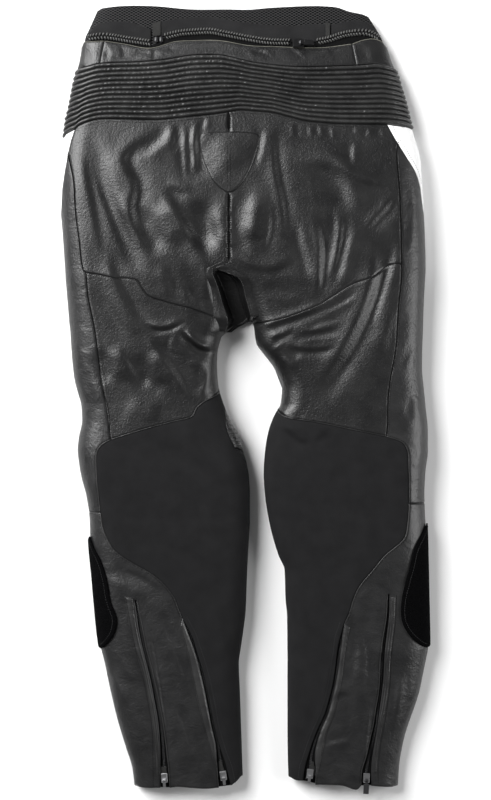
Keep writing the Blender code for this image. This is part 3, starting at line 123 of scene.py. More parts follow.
# Folds of the upper side as slopes. Each row gives how steep the cloth is across its course, half its
# width in mm, and the course. A slope above nought rises to the lower right, one below it falls there.
SLOPES = (
    # waist
    (0.4, 2, ((154, 53.5), (166, 51.5), (178, 53))), (-0.35, 2, ((150, 47), (153, 54), (151, 61))),
    (0.35, 2, ((133, 58.5), (145, 56), (157, 60))), (0.3, 3, ((103, 45), (110, 54), (106, 64))),
    (-0.25, 3, ((116, 46), (122, 54), (120, 62))), (0.35, 4, ((86, 45), (90, 54), (94, 64))),
    (0.4, 2, ((299, 62), (308, 57), (318, 55.5), (326, 52.5), (334, 54.5), (343, 49))),
    (-0.35, 2, ((288, 49), (298, 54), (305, 61))), (0.25, 2.5, ((246, 51), (257, 55.5), (270, 54))),
    (-0.25, 2, ((250, 49), (262, 52.5), (274, 60))), (0.2, 4, ((366, 44), (368, 54), (372, 64))),
    # the wide form round the centre seam
    (0.2, 15, ((208, 138), (214, 158), (221, 180))), (0.3, 13, ((212, 194), (218, 226), (222, 252))),
    (0.3, 11, ((239, 196), (241, 222), (243, 246))), (0.16, 14, ((128, 392), (146, 398), (166, 402))),
    # left seat
    (0.3, 8, ((97, 122), (99, 140), (105, 158), (110, 180), (118, 205), (127, 225), (136, 245), (143, 268),
              (149, 294))),
    (-0.3, 5, ((82, 148), (86, 168), (91, 190), (95, 212), (100, 240), (104, 262))),
    (-0.22, 4, ((91, 160), (100, 188), (110, 215), (122, 246), (132, 272))),
    (-0.42, 7, ((160, 128), (148, 139), (135, 149), (127, 160), (130, 172), (136, 183), (137, 195),
                (134, 210), (138, 228), (147, 246), (157, 266))),
    (0.3, 5, ((169, 125), (166, 138), (157, 149), (141, 159))),
    (-0.3, 4, ((175, 124), (175, 140), (170, 156))),
    (0.3, 2.5, ((182, 126), (183, 148), (186, 186))),
    (-0.28, 2, ((188, 126), (188, 148), (190, 168))),
    (0.35, 2.5, ((195, 122), (192, 141), (193, 164), (190, 182))),
    (-0.42, 4, ((200, 121), (197, 140), (198, 160), (201, 178))),
    (0.3, 2.5, ((207, 119), (204, 133))),
    (-0.2, 5, ((165, 188), (178, 191), (192, 197))),
    (0.3, 13, ((150, 203), (156, 220), (165, 238), (174, 254))),
    (0.3, 7, ((186, 256), (194, 273), (202, 291), (212, 311), (216, 326))),
    (-0.5, 6, ((162, 188), (171, 202), (182, 217), (192, 235), (202, 253), (211, 271))),
    (-0.3, 4, ((184, 286), (193, 302), (202, 315))),
    (-0.25, 6, ((163, 262), (170, 285), (174, 306))),
    (0.42, 9, ((208, 205), (214, 232), (221, 256))),
    (0.5, 3.5, ((198, 258), (204, 278), (210, 298), (216, 318), (217, 328))),
    # left thigh
    (-0.33, 6, ((110, 250), (116, 276), (127, 299), (138, 317), (147, 333))),
    (0.2, 6, ((99, 286), (110, 303), (124, 326), (134, 344))),
    (-0.5, 5, ((148, 333), (156, 345), (166, 358), (177, 374), (187, 390), (195, 404))),
    (-0.26, 3.5, ((118, 345), (128, 360), (139, 380))),
    (0.3, 9, ((106, 346), (112, 366), (117, 386))),
    (0.32, 9, ((145, 352), (150, 370), (155, 390))),
    (0.42, 4, ((207, 364), (205, 380), (198, 398))),
    (-0.3, 3, ((214, 360), (211, 380), (206, 396))),
    (-0.85, 3, ((145, 321), (154, 328), (166, 329.5), (178, 325), (186, 321))),
    (0.6, 1.8, ((146, 334), (160, 333.5), (174, 330), (184, 325.5), (196, 331))),
    (-1.8, 3.6, ((182, 329), (189, 339), (201, 348.5), (219, 350))),
    (0.45, 2, ((178, 333), (171, 342), (172, 351), (184, 356))),
    (0.3, 4, ((186, 357), (200, 360), (214, 362))),
    # middle and right seat
    (0.3, 9, ((250, 182), (251, 208), (247, 235), (250, 262))),
    (0.42, 3.5, ((264, 126), (263, 140), (260, 156), (255, 174))),
    (-0.3, 4, ((270, 205), (270, 232), (262, 260))),
    (-0.42, 5, ((279, 120), (275, 138), (275, 160), (278, 182), (283, 205), (285, 226), (279, 248))),
    (-0.25, 5, ((234, 254), (250, 268), (270, 271), (288, 264), (298, 253))),
    (0.2, 5, ((262, 290), (282, 296), (302, 298))),
    (0.42, 9, ((296, 172), (312, 167), (330, 173), (343, 188), (350, 206), (350, 222))),
    (0.32, 5, ((350, 214), (349, 236), (344, 258), (339, 278), (329, 297))),
    (-0.22, 2.5, ((342, 212), (341, 236), (337, 258), (331, 280))),
    (0.32, 4, ((334, 206), (335, 232), (332, 256), (326, 280))),
    (0.75, 5, ((298, 217), (299, 232), (303, 250), (308, 268), (311, 284))),
    (-0.55, 5, ((308, 212), (317, 228), (321, 248), (321, 270), (318, 292), (308, 302))),
    (-0.33, 6, ((322, 156), (336, 168), (350, 179), (370, 186), (393, 188))),
    (-0.45, 5, ((395, 196), (386, 210), (374, 223), (363, 236))),
    (-0.55, 9, ((370, 238), (375, 256), (376, 276), (371, 297), (362, 320), (351, 343), (338, 364),
                (324, 383), (311, 398))),
    (0.28, 5, ((395, 232), (392, 258), (386, 282), (378, 306), (368, 332))),
    (0.32, 3.5, ((352, 142), (351, 155), (352, 170))),
    (0.3, 2, ((307, 126), (309, 140))), (0.3, 2, ((317, 126), (319, 139))),
    (0.3, 2, ((329, 127), (331, 142))), (0.34, 2, ((353, 128), (354, 137))),
    (0.28, 2, ((366, 129), (366, 141))), (0.25, 2, ((378, 130), (381, 141))),
    (-0.25, 3, ((294, 124), (295, 142))),
    # right thigh
    (0.42, 2.5, ((357, 294), (345, 303), (331, 310), (320, 314))),
    (-0.6, 4, ((332, 304), (312, 312), (290, 320), (268, 328), (258, 338))),
    (0.5, 2.5, ((306, 331), (322, 325), (342, 321))),
    (-0.36, 2.5, ((298, 334), (318, 332), (340, 328))),
    (0.55, 2.5, ((290, 342), (312, 339), (342, 336))),
    (-0.5, 3.5, ((282, 346), (300, 350), (320, 350), (338, 345))),
    (0.5, 2, ((263, 351), (273, 348), (284, 341))),
    (-0.6, 3, ((268, 340), (282, 336), (294, 330))),
    (0.3, 5, ((282, 353), (290, 359), (300, 362))),
    (0.4, 3, ((284, 372), (286, 390), (284, 407))),
    (0.1, 9, ((352, 352), (346, 372), (334, 394), (322, 410))),
    (-0.2, 8, ((395, 300), (390, 330), (380, 362))),
    # sides
    (-0.3, 4, ((76, 372), (84, 386), (92, 402))),
    (0.25, 4, ((90, 366), (94, 388), (96, 412))),
    (0.2, 3, ((74, 352), (84, 350), (94, 353))),
    (0.3, 5, ((406, 176), (410, 205), (409, 235), (405, 262))),
    (0.25, 4, ((416, 342), (407, 358), (401, 374))),
    (0.3, 5, ((411, 392), (412, 408), (411, 424))),
    (-0.2, 5, ((69, 196), (71, 240), (74, 290))),
    # stretch fabric
    (-0.25, 8, ((180, 430), (200, 446), (224, 466))),
    (0.2, 9, ((165, 430), (182, 450), (200, 470))),
    (-0.25, 7, ((216, 606), (226, 630), (240, 656))),
    (-0.6, 5, ((279, 425), (290, 432), (300, 440), (312, 443))),
    (0.35, 5, ((278, 417), (290, 423), (304, 428))),
    (-0.3, 5, ((312, 443), (320, 436), (330, 430))),
    (0.14, 10, ((346, 540), (349, 565), (352, 590))),
    (-0.12, 9, ((294, 520), (290, 545), (296, 580), (300, 612))),
    (0.12, 12, ((150, 480), (158, 520), (172, 560))),
    (-0.12, 12, ((215, 500), (222, 545), (226, 590))),
    # calves
    (0.5, 2.2, ((129.5, 602), (140, 640), (151, 700), (156.5, 735), (158, 768))),
    (-0.55, 2.4, ((139.5, 600), (152, 640), (160.5, 690), (166, 730), (168.5, 770))),
    (0.4, 2.2, ((187, 640), (196, 680), (206, 716), (215, 752))),
    (-0.5, 2.4, ((186, 624), (200, 657), (212, 698), (221, 733), (226, 762))),
    (-0.4, 2.4, ((340, 628), (332, 660), (322, 708), (309, 742), (305, 764))),
    (-0.5, 2.4, ((372, 700), (368, 730), (366, 764))), (0.4, 2.4, ((378, 690), (374, 730), (371, 764))),
    (0.26, 7, ((108, 572), (130, 580), (152, 592))),
    (-0.26, 4, ((120, 566), (142, 575), (164, 590))),
    (0.22, 5, ((164, 606), (172, 626), (182, 648))),
    (-0.3, 3, ((160, 606), (168, 634), (180, 664), (190, 700))),
    (0.22, 4, ((176, 690), (186, 712), (196, 742))),
    (-0.2, 3, ((172, 702), (184, 726), (192, 760))),
    (-0.3, 5, ((104, 656), (116, 676), (134, 708))),
    (0.25, 5, ((108, 650), (124, 668), (138, 690))),
    (0.3, 4, ((355, 630), (356, 652), (353, 686))),
    (-0.22, 4, ((364, 634), (366, 662), (362, 700))),
    (0.32, 4, ((396, 666), (395, 700), (389, 740))),
    (-0.2, 4, ((404, 668), (402, 700), (396, 730))),
    (0.26, 3, ((322, 744), (336, 740), (352, 738))),
    (-0.2, 4, ((330, 700), (342, 692), (354, 694))),
    (0.22, 7, ((118, 610), (124, 640), (132, 672))),
)
# Short crinkles: slope, half width in mm, middle, half length and turn in degrees
CRINKLES = (
    (0.25, 1.6, 150, 620, 7, 60), (-0.25, 1.6, 153, 624, 8, 62), (0.25, 1.5, 172, 668, 6, 70),
    (0.22, 1.6, 158, 690, 6, 110), (-0.22, 1.6, 176, 730, 7, 75), (0.22, 1.5, 196, 736, 6, 65),
    (0.22, 1.6, 130, 740, 6, 100), (0.22, 1.6, 150, 756, 5, 80), (0.2, 1.6, 120, 690, 7, 55),
    (0.25, 1.6, 350, 660, 6, 100), (-0.25, 1.6, 346, 704, 7, 95), (0.22, 1.6, 338, 764, 6, 20),
    (0.2, 1.6, 392, 610, 6, 100), (0.2, 1.6, 410, 600, 7, 85), (0.22, 1.6, 388, 706, 5, 100),
    (0.2, 1.6, 352, 620, 6, 110), (0.2, 1.8, 330, 720, 6, 60), (0.2, 1.8, 380, 760, 6, 85),
)

# Seams and edges of the upper side: across, down
MESH_TOP = ((99, 7), (132, 5.5), (159, 6.5), (191, 9.6), (229, 9.8), (249, 10), (272, 8), (312, 6),
            (336, 7), (349, 11), (365, 13))
WAIST_TOP_LEFT = ((83.2, 42), (104.5, 42))
WAIST_TOP = ((104.5, 42), (124, 45), (150, 49.5), (175, 43), (191, 42), (220, 42), (249, 47),
             (272, 48), (320, 49), (352, 45))
WAIST_TOP_RIGHT = ((352, 45), (371, 39.5), (382.8, 41.5))
WAIST_SEAM_LEFT = ((104.5, 42), (100.5, 64.4))
WAIST_SEAM_RIGHT = ((352, 45), (356, 66.5))
ACCORDION_TOP_LEFT = ((85, 67.5), (92.7, 66), (100.5, 64.4))
ACCORDION_TOP = ((100.5, 64.4), (110.6, 64), (121, 63.6), (143, 63), (167, 60.6), (191, 56.6), (207, 56),
                   (223, 56.6), (249, 63), (268, 66), (288, 68), (304, 68.4), (320, 68), (338, 67.3),
                   (356, 66.5))
ACCORDION_TOP_RIGHT = ((356, 66.5), (366, 65.7), (376, 65), (384, 66.3), (392, 67.5))
ACCORDION_BOTTOM_LEFT = ((76, 131), (80, 127.5), (96, 122), (112, 121), (136, 121.6), (160, 122),
                         (175, 120.7), (191, 119), (210, 117), (229, 114.3))
ACCORDION_BOTTOM_RIGHT = ((229, 114.3), (240, 112.5), (256, 113.5), (272, 115), (288, 119), (304, 123),
                          (320, 124.8), (336, 126), (360, 126.4), (386, 126.6))
YOKE_LEFT = ((87.6, 274), (101, 276), (114, 279), (138, 281.5), (144, 290), (149.5, 297), (163, 302),
             (178, 306), (197, 311), (217, 318))
YOKE_RIGHT = ((400, 264.6), (387, 267), (371.5, 278), (350.5, 286), (328, 300), (318, 306), (287, 318),
              (263, 323.6))
SIDE_LEFT_HIGH = ((69, 154), (75, 183), (77.4, 218), (80.6, 242), (84.4, 270.6), (87.6, 274))
SIDE_LEFT_LOW = ((87.6, 274), (89.5, 297), (96, 329), (100, 361), (105, 393), (110.6, 430), (112, 439.5))
SIDE_RIGHT_HIGH = ((395, 143), (395.5, 161), (398, 192), (399.4, 230), (400, 264.6))
SIDE_RIGHT_LOW = ((400, 264.6), (399.3, 285), (396.8, 310), (394, 352), (387, 394), (386.3, 420),
                  (385, 436.4))
WHITE_LEFT = ((76, 131), (72, 142), (69, 154))
WHITE_LEFT_LOW = ((69, 154), (65.5, 172), (62.5, 190))
WHITE_RIGHT = ((386, 126.6), (390, 134), (395, 143))
WHITE_RIGHT_LOW = ((395, 143), (406, 160), (415, 174), (420, 188))
STRETCH_TOP_LEFT = ((221.5, 391), (208, 400), (197.6, 407.7), (192.4, 416.6), (172, 422), (153, 427),
                    (134, 432.5), (112, 439.5))
STRETCH_SIDE_LEFT = ((112, 439.5), (103, 444.6), (98, 453.6), (98, 471), (99, 488), (100.6, 502),
                     (101.6, 512))
STRETCH_CALF_LEFT = ((101.6, 512), (103.6, 525), (109.5, 540), (117, 550.5), (134, 562), (151.6, 572),
                     (164, 582), (174.6, 596), (180, 610), (183, 617))
STRETCH_TOP_RIGHT = ((278, 409), (288, 418), (301, 420), (314, 422), (330, 425), (347, 428.7), (366, 432.5),
                     (385, 436.4))
STRETCH_SIDE_RIGHT = ((385, 436.4), (400.5, 442), (405.6, 449.7), (407, 464), (407.8, 484), (407.8, 503))
STRETCH_CALF_RIGHT = ((407.8, 503), (406.5, 520), (404, 535), (399, 541.6), (384, 554), (371, 569.6),
                      (358.4, 585), (352, 599), (348.6, 611), (343.7, 622))
CROSS_LEFT = ((89.4, 512), (101.6, 512))
CROSS_RIGHT = ((423.6, 503), (407.8, 503))
KNEE_LEFT = ((225, 411), (226.5, 425), (229.5, 436), (235, 448))
# The lips of the four leg zips from their upper end to the hem
ANKLE_LEFT_CALF = ((183, 617), (190, 636), (195, 650), (200, 668), (204, 685), (208, 706), (212, 727),
                   (216, 745), (217, 762), (218, 775), (219, 787))
ANKLE_LEFT_STRETCH = ((183, 617), (192, 634), (198, 652), (203, 668), (207, 685), (211, 706), (215, 727),
                      (220.5, 747), (225.5, 762), (228.6, 775), (231, 785))
ANKLE_RIGHT_CALF = ((343.7, 622), (341, 642), (336, 678), (332, 696), (327.5, 713), (320, 731), (315, 751),
                    (315.6, 768), (315, 784))
ANKLE_RIGHT_STRETCH = ((343.7, 622), (338, 642), (333, 678), (329, 696), (324, 713), (316, 731), (309, 751),
                       (304.4, 768), (303, 780))
CALF_LEFT_OUT = ((135.4, 599), (141, 636), (151, 678), (155, 699), (158.6, 720), (160.4, 744), (160.5, 768),
                 (160.5, 787))
CALF_LEFT_IN = ((137.4, 599), (144.5, 636), (154.5, 678), (159, 699), (162.8, 720), (166, 744), (168.6, 768),
                (169.8, 787))
CALF_RIGHT_OUT = ((388.4, 593), (388, 615), (384, 650), (382.6, 678), (379.4, 706), (376.4, 727), (372, 755),
                  (371, 770), (371, 785))
CALF_RIGHT_IN = ((386.6, 593), (385.6, 615), (380.6, 650), (379, 678), (375.6, 706), (372.4, 727), (366, 755),
                 (361.6, 770), (361, 785))
HEM_LEFT_OUT = ((160.5, 787), (147, 787.5), (139, 787))
HEM_LEFT_IN = ((169.8, 787), (177, 786), (191, 787), (205, 788), (219, 787))
HEM_LEFT_STRETCH = ((231, 785), (237, 781), (241, 777))
HEM_RIGHT_OUT = ((371, 785), (380, 786), (392, 787))
HEM_RIGHT_IN = ((361, 785), (356, 789), (343, 785), (326, 784), (315, 784))
HEM_RIGHT_STRETCH = ((303, 780), (296, 780), (290.5, 778))

# Overlays: across, down
SHIELD_LINE = ((203, 136), (214, 134.6), (229, 134), (245, 134.5), (257, 136.4), (259.6, 141), (256.6, 154),
               (250, 172), (240, 188), (229, 195), (217, 187.5), (208, 173), (201.4, 154), (200.6, 140))
PATCH_LEFT = ((91.5, 536), (95, 546), (102, 559), (108, 578), (112, 600), (118, 618), (115, 633), (108, 643),
              (103, 648))
PATCH_RIGHT = ((425.5, 523), (421, 532), (413, 547), (408, 566), (403.4, 583), (400, 601), (400.6, 619),
               (407.5, 633), (418, 643), (425, 647))
WELT_LEFT = ((125.4, 595), (130, 622), (139, 659), (146, 685), (151, 713), (155.6, 745), (157, 776),
             (159.4, 776), (159.2, 745), (156, 713), (151.3, 688), (145.6, 662), (137, 625), (133.6, 597))
WELT_RIGHT = ((394.6, 595), (393.6, 622), (390, 656), (388.4, 685), (384.6, 713), (378.6, 745), (376, 772),
              (372.8, 772), (374.4, 745), (380, 713), (384, 685), (385.6, 656), (389.4, 622), (390.2, 596))
# The inner border of the strip beside each ankle zip
ANKLE_STITCH_LEFT = ((180.5, 624), (187.5, 650), (191, 667), (199, 706), (210, 748), (216, 768))
ANKLE_STITCH_RIGHT = ((349.5, 626), (345, 650), (341.5, 678), (338, 696), (333, 715), (326, 734), (322, 756))
# The pale ends of the tapes above the leg sliders
TABS_LEFT = (("calf", ((159.4, 766), (166.6, 766), (167.6, 779), (160.4, 779))),
             ("ankle", ((218.6, 760), (221.6, 760), (226, 774), (219.4, 775))))
TABS_RIGHT = (("ankle", ((310.6, 761), (313.6, 761), (316, 775), (308.6, 775))),)
TAPE_LEFT = ((86, 34), (97, 22.5), (130, 22.5), (151, 30), (151, 45.5), (128, 41.5), (104, 37), (88, 38.5))
TAPE_MIDDLE = ((153, 26), (161, 22), (194, 18), (211, 17.6), (242, 23), (290, 26.6), (306, 25), (329.6, 24),
               (329.6, 38.5), (318, 42), (270, 42), (250, 39.5), (223, 34), (190, 33), (166, 36.8), (153, 37))
TAPE_RIGHT = ((331, 25), (352, 21), (368, 22), (376, 29), (381.5, 38), (370, 35.5), (350, 35.5), (331, 39.5))
TAPE_LOWER = ((88, 39.8), (104, 38.4), (128, 42.8), (151, 47), (165, 38.2), (190, 34.4), (223, 35.4),
              (250, 41), (270, 43.4), (318, 43.4), (331, 40.8), (350, 37), (368, 36.4), (379, 38.2),
              (379, 39.8), (371, 38.7), (362, 41.4), (352, 48), (320, 53.4), (272, 52.4), (249, 51.4),
              (220, 46.4), (175, 47.4), (150, 54), (124, 49.4), (106, 45), (100, 41.2), (88, 41))
# Crotch gusset from front to back: down, its left rim, left lip, seam, right lip, right rim, bottom in mm
GUSSET_ROWS = (
    (257, 227, 228, 229, 230, 231, 40), (264, 219, 222, 228, 233, 238, 38),
    (269, 208, 213, 213.6, 214.2, 241, 36), (272, 205, 212.8, 216, 220, 243, 34),
    (275, 205.5, 213.2, 223, 230, 245, 31), (278, 206, 214, 226, 237.5, 247, 28),
    (282, 208, 215.6, 228, 241, 249, 24), (288, 211, 218, 230.4, 243.4, 251.5, 21),
    (296, 212.5, 220.4, 233, 245, 253, 18), (306, 213, 223.4, 236.8, 248, 256, 14),
    (313, 213, 226, 240.5, 250, 258, 11), (318, 214, 227.4, 244, 251.4, 259, 9),
    (322, 217, 228, 240, 246, 248, 7), (327, 219, 227, 232, 236, 238, 5),
    (332, 219.5, 225, 227.5, 229.5, 231, 4),
)


class Line:
    """A smooth line through the rows of a table, with no overshoot between them."""

    def __init__(self, rows):
        self.x, self.y = np.array(rows, float).T
        step = np.diff(self.x)
        slope = np.diff(self.y) / step
        self.m = np.zeros(len(self.x))
        self.m[0], self.m[-1] = slope[0], slope[-1]
        for i in range(1, len(slope)):
            if slope[i - 1] * slope[i] > 0:
                a, b = 2 * step[i] + step[i - 1], step[i] + 2 * step[i - 1]
                self.m[i] = (a + b) / (a / slope[i - 1] + b / slope[i])

    def __call__(self, t):
        t = np.clip(np.asarray(t, float), self.x[0], self.x[-1])
        i = np.clip(np.searchsorted(self.x, t) - 1, 0, len(self.x) - 2)
        h = self.x[i + 1] - self.x[i]
        f = (t - self.x[i]) / h
        return (
            self.y[i] * (1 + 2 * f) * (1 - f) ** 2
            + self.y[i + 1] * f * f * (3 - 2 * f)
            + h * (self.m[i] * f * (1 - f) ** 2 - self.m[i + 1] * f * f * (1 - f))
        )


def column(table, i):
    return Line([(row[0], row[i]) for row in table])


THICK, CLOSED, CLOSED_FRONT = column(BODY, 1), column(BODY, 2), column(BODY, 3)
OUTER = {"L": column(LEFT_EDGE, 1), "R": column(RIGHT_EDGE, 1)}
INNER = {"L": column(LEFT_EDGE, 2), "R": column(RIGHT_EDGE, 2)}


def front_edge(table, back):
    """The front's inner edge: the back's own, but for the stretch that the table covers."""
    rows = [(d, x) for d, x in zip(back.x, back.y) if d < table[0][0] - 2 or d > table[-1][0] + 2]
    return Line(sorted(rows + list(table)))


FRONT = {"L": front_edge(LEFT_FRONT, INNER["L"]), "R": front_edge(RIGHT_FRONT, INNER["R"])}


def smooth(t):
    t = np.clip(t, 0, 1)
    return t * t * (3 - 2 * t)


def flowing(points, gap, closed=False):
    """A seam drawn as a smooth curve through its points, with one point every gap metres or so."""
    p = [np.array(q, float) for q in points]
    if len(p) < 3:
        n = max(1, math.ceil(np.linalg.norm(p[1] - p[0]) * STEP / gap))
        return [tuple(p[0] + (p[1] - p[0]) * i / n) for i in range(n + 1)]
    before = [p[-2] if closed else 2 * p[0] - p[1]] + p[:-1]
    after = p[1:] + [p[1] if closed else 2 * p[-1] - p[-2]]
    out = []
    for i in range(len(p) - 1):
        a, b, c, d = before[i], p[i], p[i + 1], after[i + 1]
        long = np.linalg.norm(c - b)
        m0 = (c - a) * long / (np.linalg.norm(b - a) + long + 1e-9)
        m1 = (d - b) * long / (np.linalg.norm(d - c) + long + 1e-9)
        n = max(1, math.ceil(long * STEP / gap))
        for k in range(n):
            t = k / n
            out.append(tuple((2 * t**3 - 3 * t**2 + 1) * b + (t**3 - 2 * t**2 + t) * m0
                             + (3 * t**2 - 2 * t**3) * c + (t**3 - t**2) * m1))
    return out + [tuple(p[-1])]


def along_course(across, down, course):
    """How far each place is from a course, to its lower right above nought, and where along it."""
    gap = np.full(np.shape(across), 1e9)
    along = np.zeros(np.shape(across))
    done, whole = 0.0, sum(math.dist(a, b) for a, b in zip(course, course[1:]))
    (xs, ys), (xe, ye) = course[0], course[-1]
    side = 1 if (ye - ys) + 0.8 * (xs - xe) > 0 else -1
    signed = np.zeros(np.shape(across))
    for (x0, y0), (x1, y1) in zip(course, course[1:]):
        dx, dy = x1 - x0, y1 - y0
        long = math.hypot(dx, dy)
        t = np.clip(((across - x0) * dx + (down - y0) * dy) / long**2, 0, 1)
        far = np.hypot(across - x0 - t * dx, down - y0 - t * dy) * STEP
        closer = far < gap
        gap = np.where(closer, far, gap)
        cross = ((across - x0) * dy - (down - y0) * dx) * side
        signed = np.where(closer, np.sign(cross) * far, signed)
        along = np.where(closer, (done + t * long) / whole, along)
        done += long
    return signed, along


def curved(course, gap=4.0):
    """The course as a smooth curve with a point every few steps."""
    return flowing(course, gap * STEP)


def folds(across, down):
    """How far the folds lift the upper side, in metres."""
    across, down = np.asarray(across, float), np.asarray(down, float)
    rise = np.zeros(np.shape(across))
    for slope, half, course in COURSES:
        x, y = np.array(course).T
        reach = half / 1000 * 3.4 / STEP + 2
        near = (across > x.min() - reach) & (across < x.max() + reach)
        near &= (down > y.min() - reach) & (down < y.max() + reach)
        if not near.any():
            continue
        gap, along = along_course(across[near], down[near], course)
        wide = half / 1000 * 0.9
        taper = smooth(np.minimum(along, 1 - along) / FADE)
        rise[near] += slope * wide * np.tanh(gap / wide) * np.exp(-((gap / (wide * 2.1)) ** 2)) * taper
    return rise


def section(side, v):
    """The measures of one half's cross-section at v metres down."""
    down = np.asarray(v, float) / STEP
    high, closed, front_closed = THICK(down) / 1000, CLOSED(down), CLOSED_FRONT(down)
    width = np.abs(INNER[side](down) - OUTER[side](down)) * STEP
    front = np.abs(FRONT[side](down) - OUTER[side](down)) * STEP
    edge = EDGE_SHARE * high
    narrow = np.clip(width / 0.19, 0.5, 1)
    out = EDGE_ROUND * narrow
    inn = EDGE_ROUND * 0.8 * narrow * closed
    under_in = EDGE_UNDER * front_closed
    quarter = math.pi / 2
    top_out = quarter * np.hypot(out, high - edge) / math.sqrt(2)
    top_in = quarter * np.hypot(inn, (high - edge) * closed) / math.sqrt(2)
    low_out = quarter * np.hypot(EDGE_UNDER, edge) / math.sqrt(2)
    low_in = quarter * np.hypot(under_in, edge * front_closed) / math.sqrt(2)
    return {
        "down": down, "high": high, "closed": closed, "front_closed": front_closed,
        "width": width, "front": front, "edge": edge,
        "out": out, "in": inn, "under_in": under_in,
        "top_out": top_out, "top_in": top_in, "low_out": low_out, "low_in": low_in,
        "top": top_out + width - out - inn + top_in,
        "low": low_out + front - EDGE_UNDER - under_in + low_in,
    }


def quarter_turn(distance, length, reach, drop):
    """One rounded edge: how far along and how far down at a distance into the turn."""
    turned = length > 1e-5
    angle = np.where(turned, distance / np.where(turned, length, 1) * math.pi / 2, 0)
    return np.where(turned, reach * np.sin(angle), distance), drop * (1 - np.cos(angle))


def place(side, u, v):
    """A point of the surface, u metres from the outer edge: the upper side is below nought."""
    u, v = np.asarray(u, float), np.asarray(v, float)
    s = section(side, v)
    a = -u
    first, last = s["top_out"], s["top"] - s["top_in"]
    angle = a / first * math.pi / 2
    far_in, fall = quarter_turn(np.maximum(a - last, 0), s["top_in"], s["in"],
                                (s["high"] - s["edge"]) * s["closed"])
    far = np.where(a < first, s["out"] * (1 - np.cos(angle)), s["out"] + np.minimum(a, last) - first + far_in)
    z = np.where(a < first, s["edge"] + (s["high"] - s["edge"]) * np.sin(angle), s["high"] - fall)
    share = np.clip(a / s["top"], 0, 1)
    crown = (1 - s["closed"]) * np.sin(share * math.pi / 2) + s["closed"] * np.sin(share * math.pi)
    sign = 1 if side == "L" else -1
    across = OUTER[side](s["down"]) + sign * far / STEP
    calm = smooth(a / first * 0.9) * np.where(
        s["top_in"] > 1e-5, smooth((s["top"] - a) / np.maximum(s["top_in"], 1e-5) * 0.9), 1
    )
    z_top = z + CROWN * crown + folds(across, s["down"]) * calm
    # Underside
    first, last = s["low_out"], s["low"] - s["low_in"]
    angle = u / first * math.pi / 2
    far_in, fall = quarter_turn(np.maximum(u - last, 0), s["low_in"], s["under_in"],
                                s["edge"] * s["front_closed"])
    far_low = np.where(u < first, EDGE_UNDER * (1 - np.cos(angle)),
                       EDGE_UNDER + np.minimum(u, last) - first + far_in)
    z_low = np.where(u < first, s["edge"] * (1 - np.sin(angle)), fall)
    upper = u < 0
    far = np.where(upper, far, far_low)
    x = (OUTER[side](s["down"]) - MIDDLE_ACROSS) * STEP + sign * far
    return np.stack([x, MIDDLE_DOWN * STEP - v, np.where(upper, z_top, z_low)], -1)


def outward(side, u, v):
    """The surface's normal, pointing out of the garment."""
    e = 0.0015
    along = place(side, u + e, v) - place(side, u - e, v)
    down = place(side, u, v + e) - place(side, u, v - e)
    n = np.cross(along, down) * (1 if side == "L" else -1)
    return n / np.linalg.norm(n, axis=-1, keepdims=True)


def upper_u(side, across, down):
    """Where a place seen from above lies in the unrolled cloth."""
    s = section(side, down * STEP)
    far = abs(across - float(OUTER[side](down))) * STEP
    if far < s["out"]:
        return -float(s["top_out"] * math.acos(max(1 - far / s["out"], 0)) / (math.pi / 2))
    if far <= s["width"] - s["in"]:
        return -float(s["top_out"] + far - s["out"])
    turn = min((far - (s["width"] - s["in"])) / max(s["in"], 1e-9), 1)
    return -float(s["top"] - s["top_in"] + s["top_in"] * math.asin(turn) / (math.pi / 2))


def lower_u(side, across, down):
    """The same for a place on the flat of the underside."""
    s = section(side, down * STEP)
    far = abs(across - float(OUTER[side](down))) * STEP
    return float(s["low_out"] + max(far, EDGE_UNDER) - EDGE_UNDER)


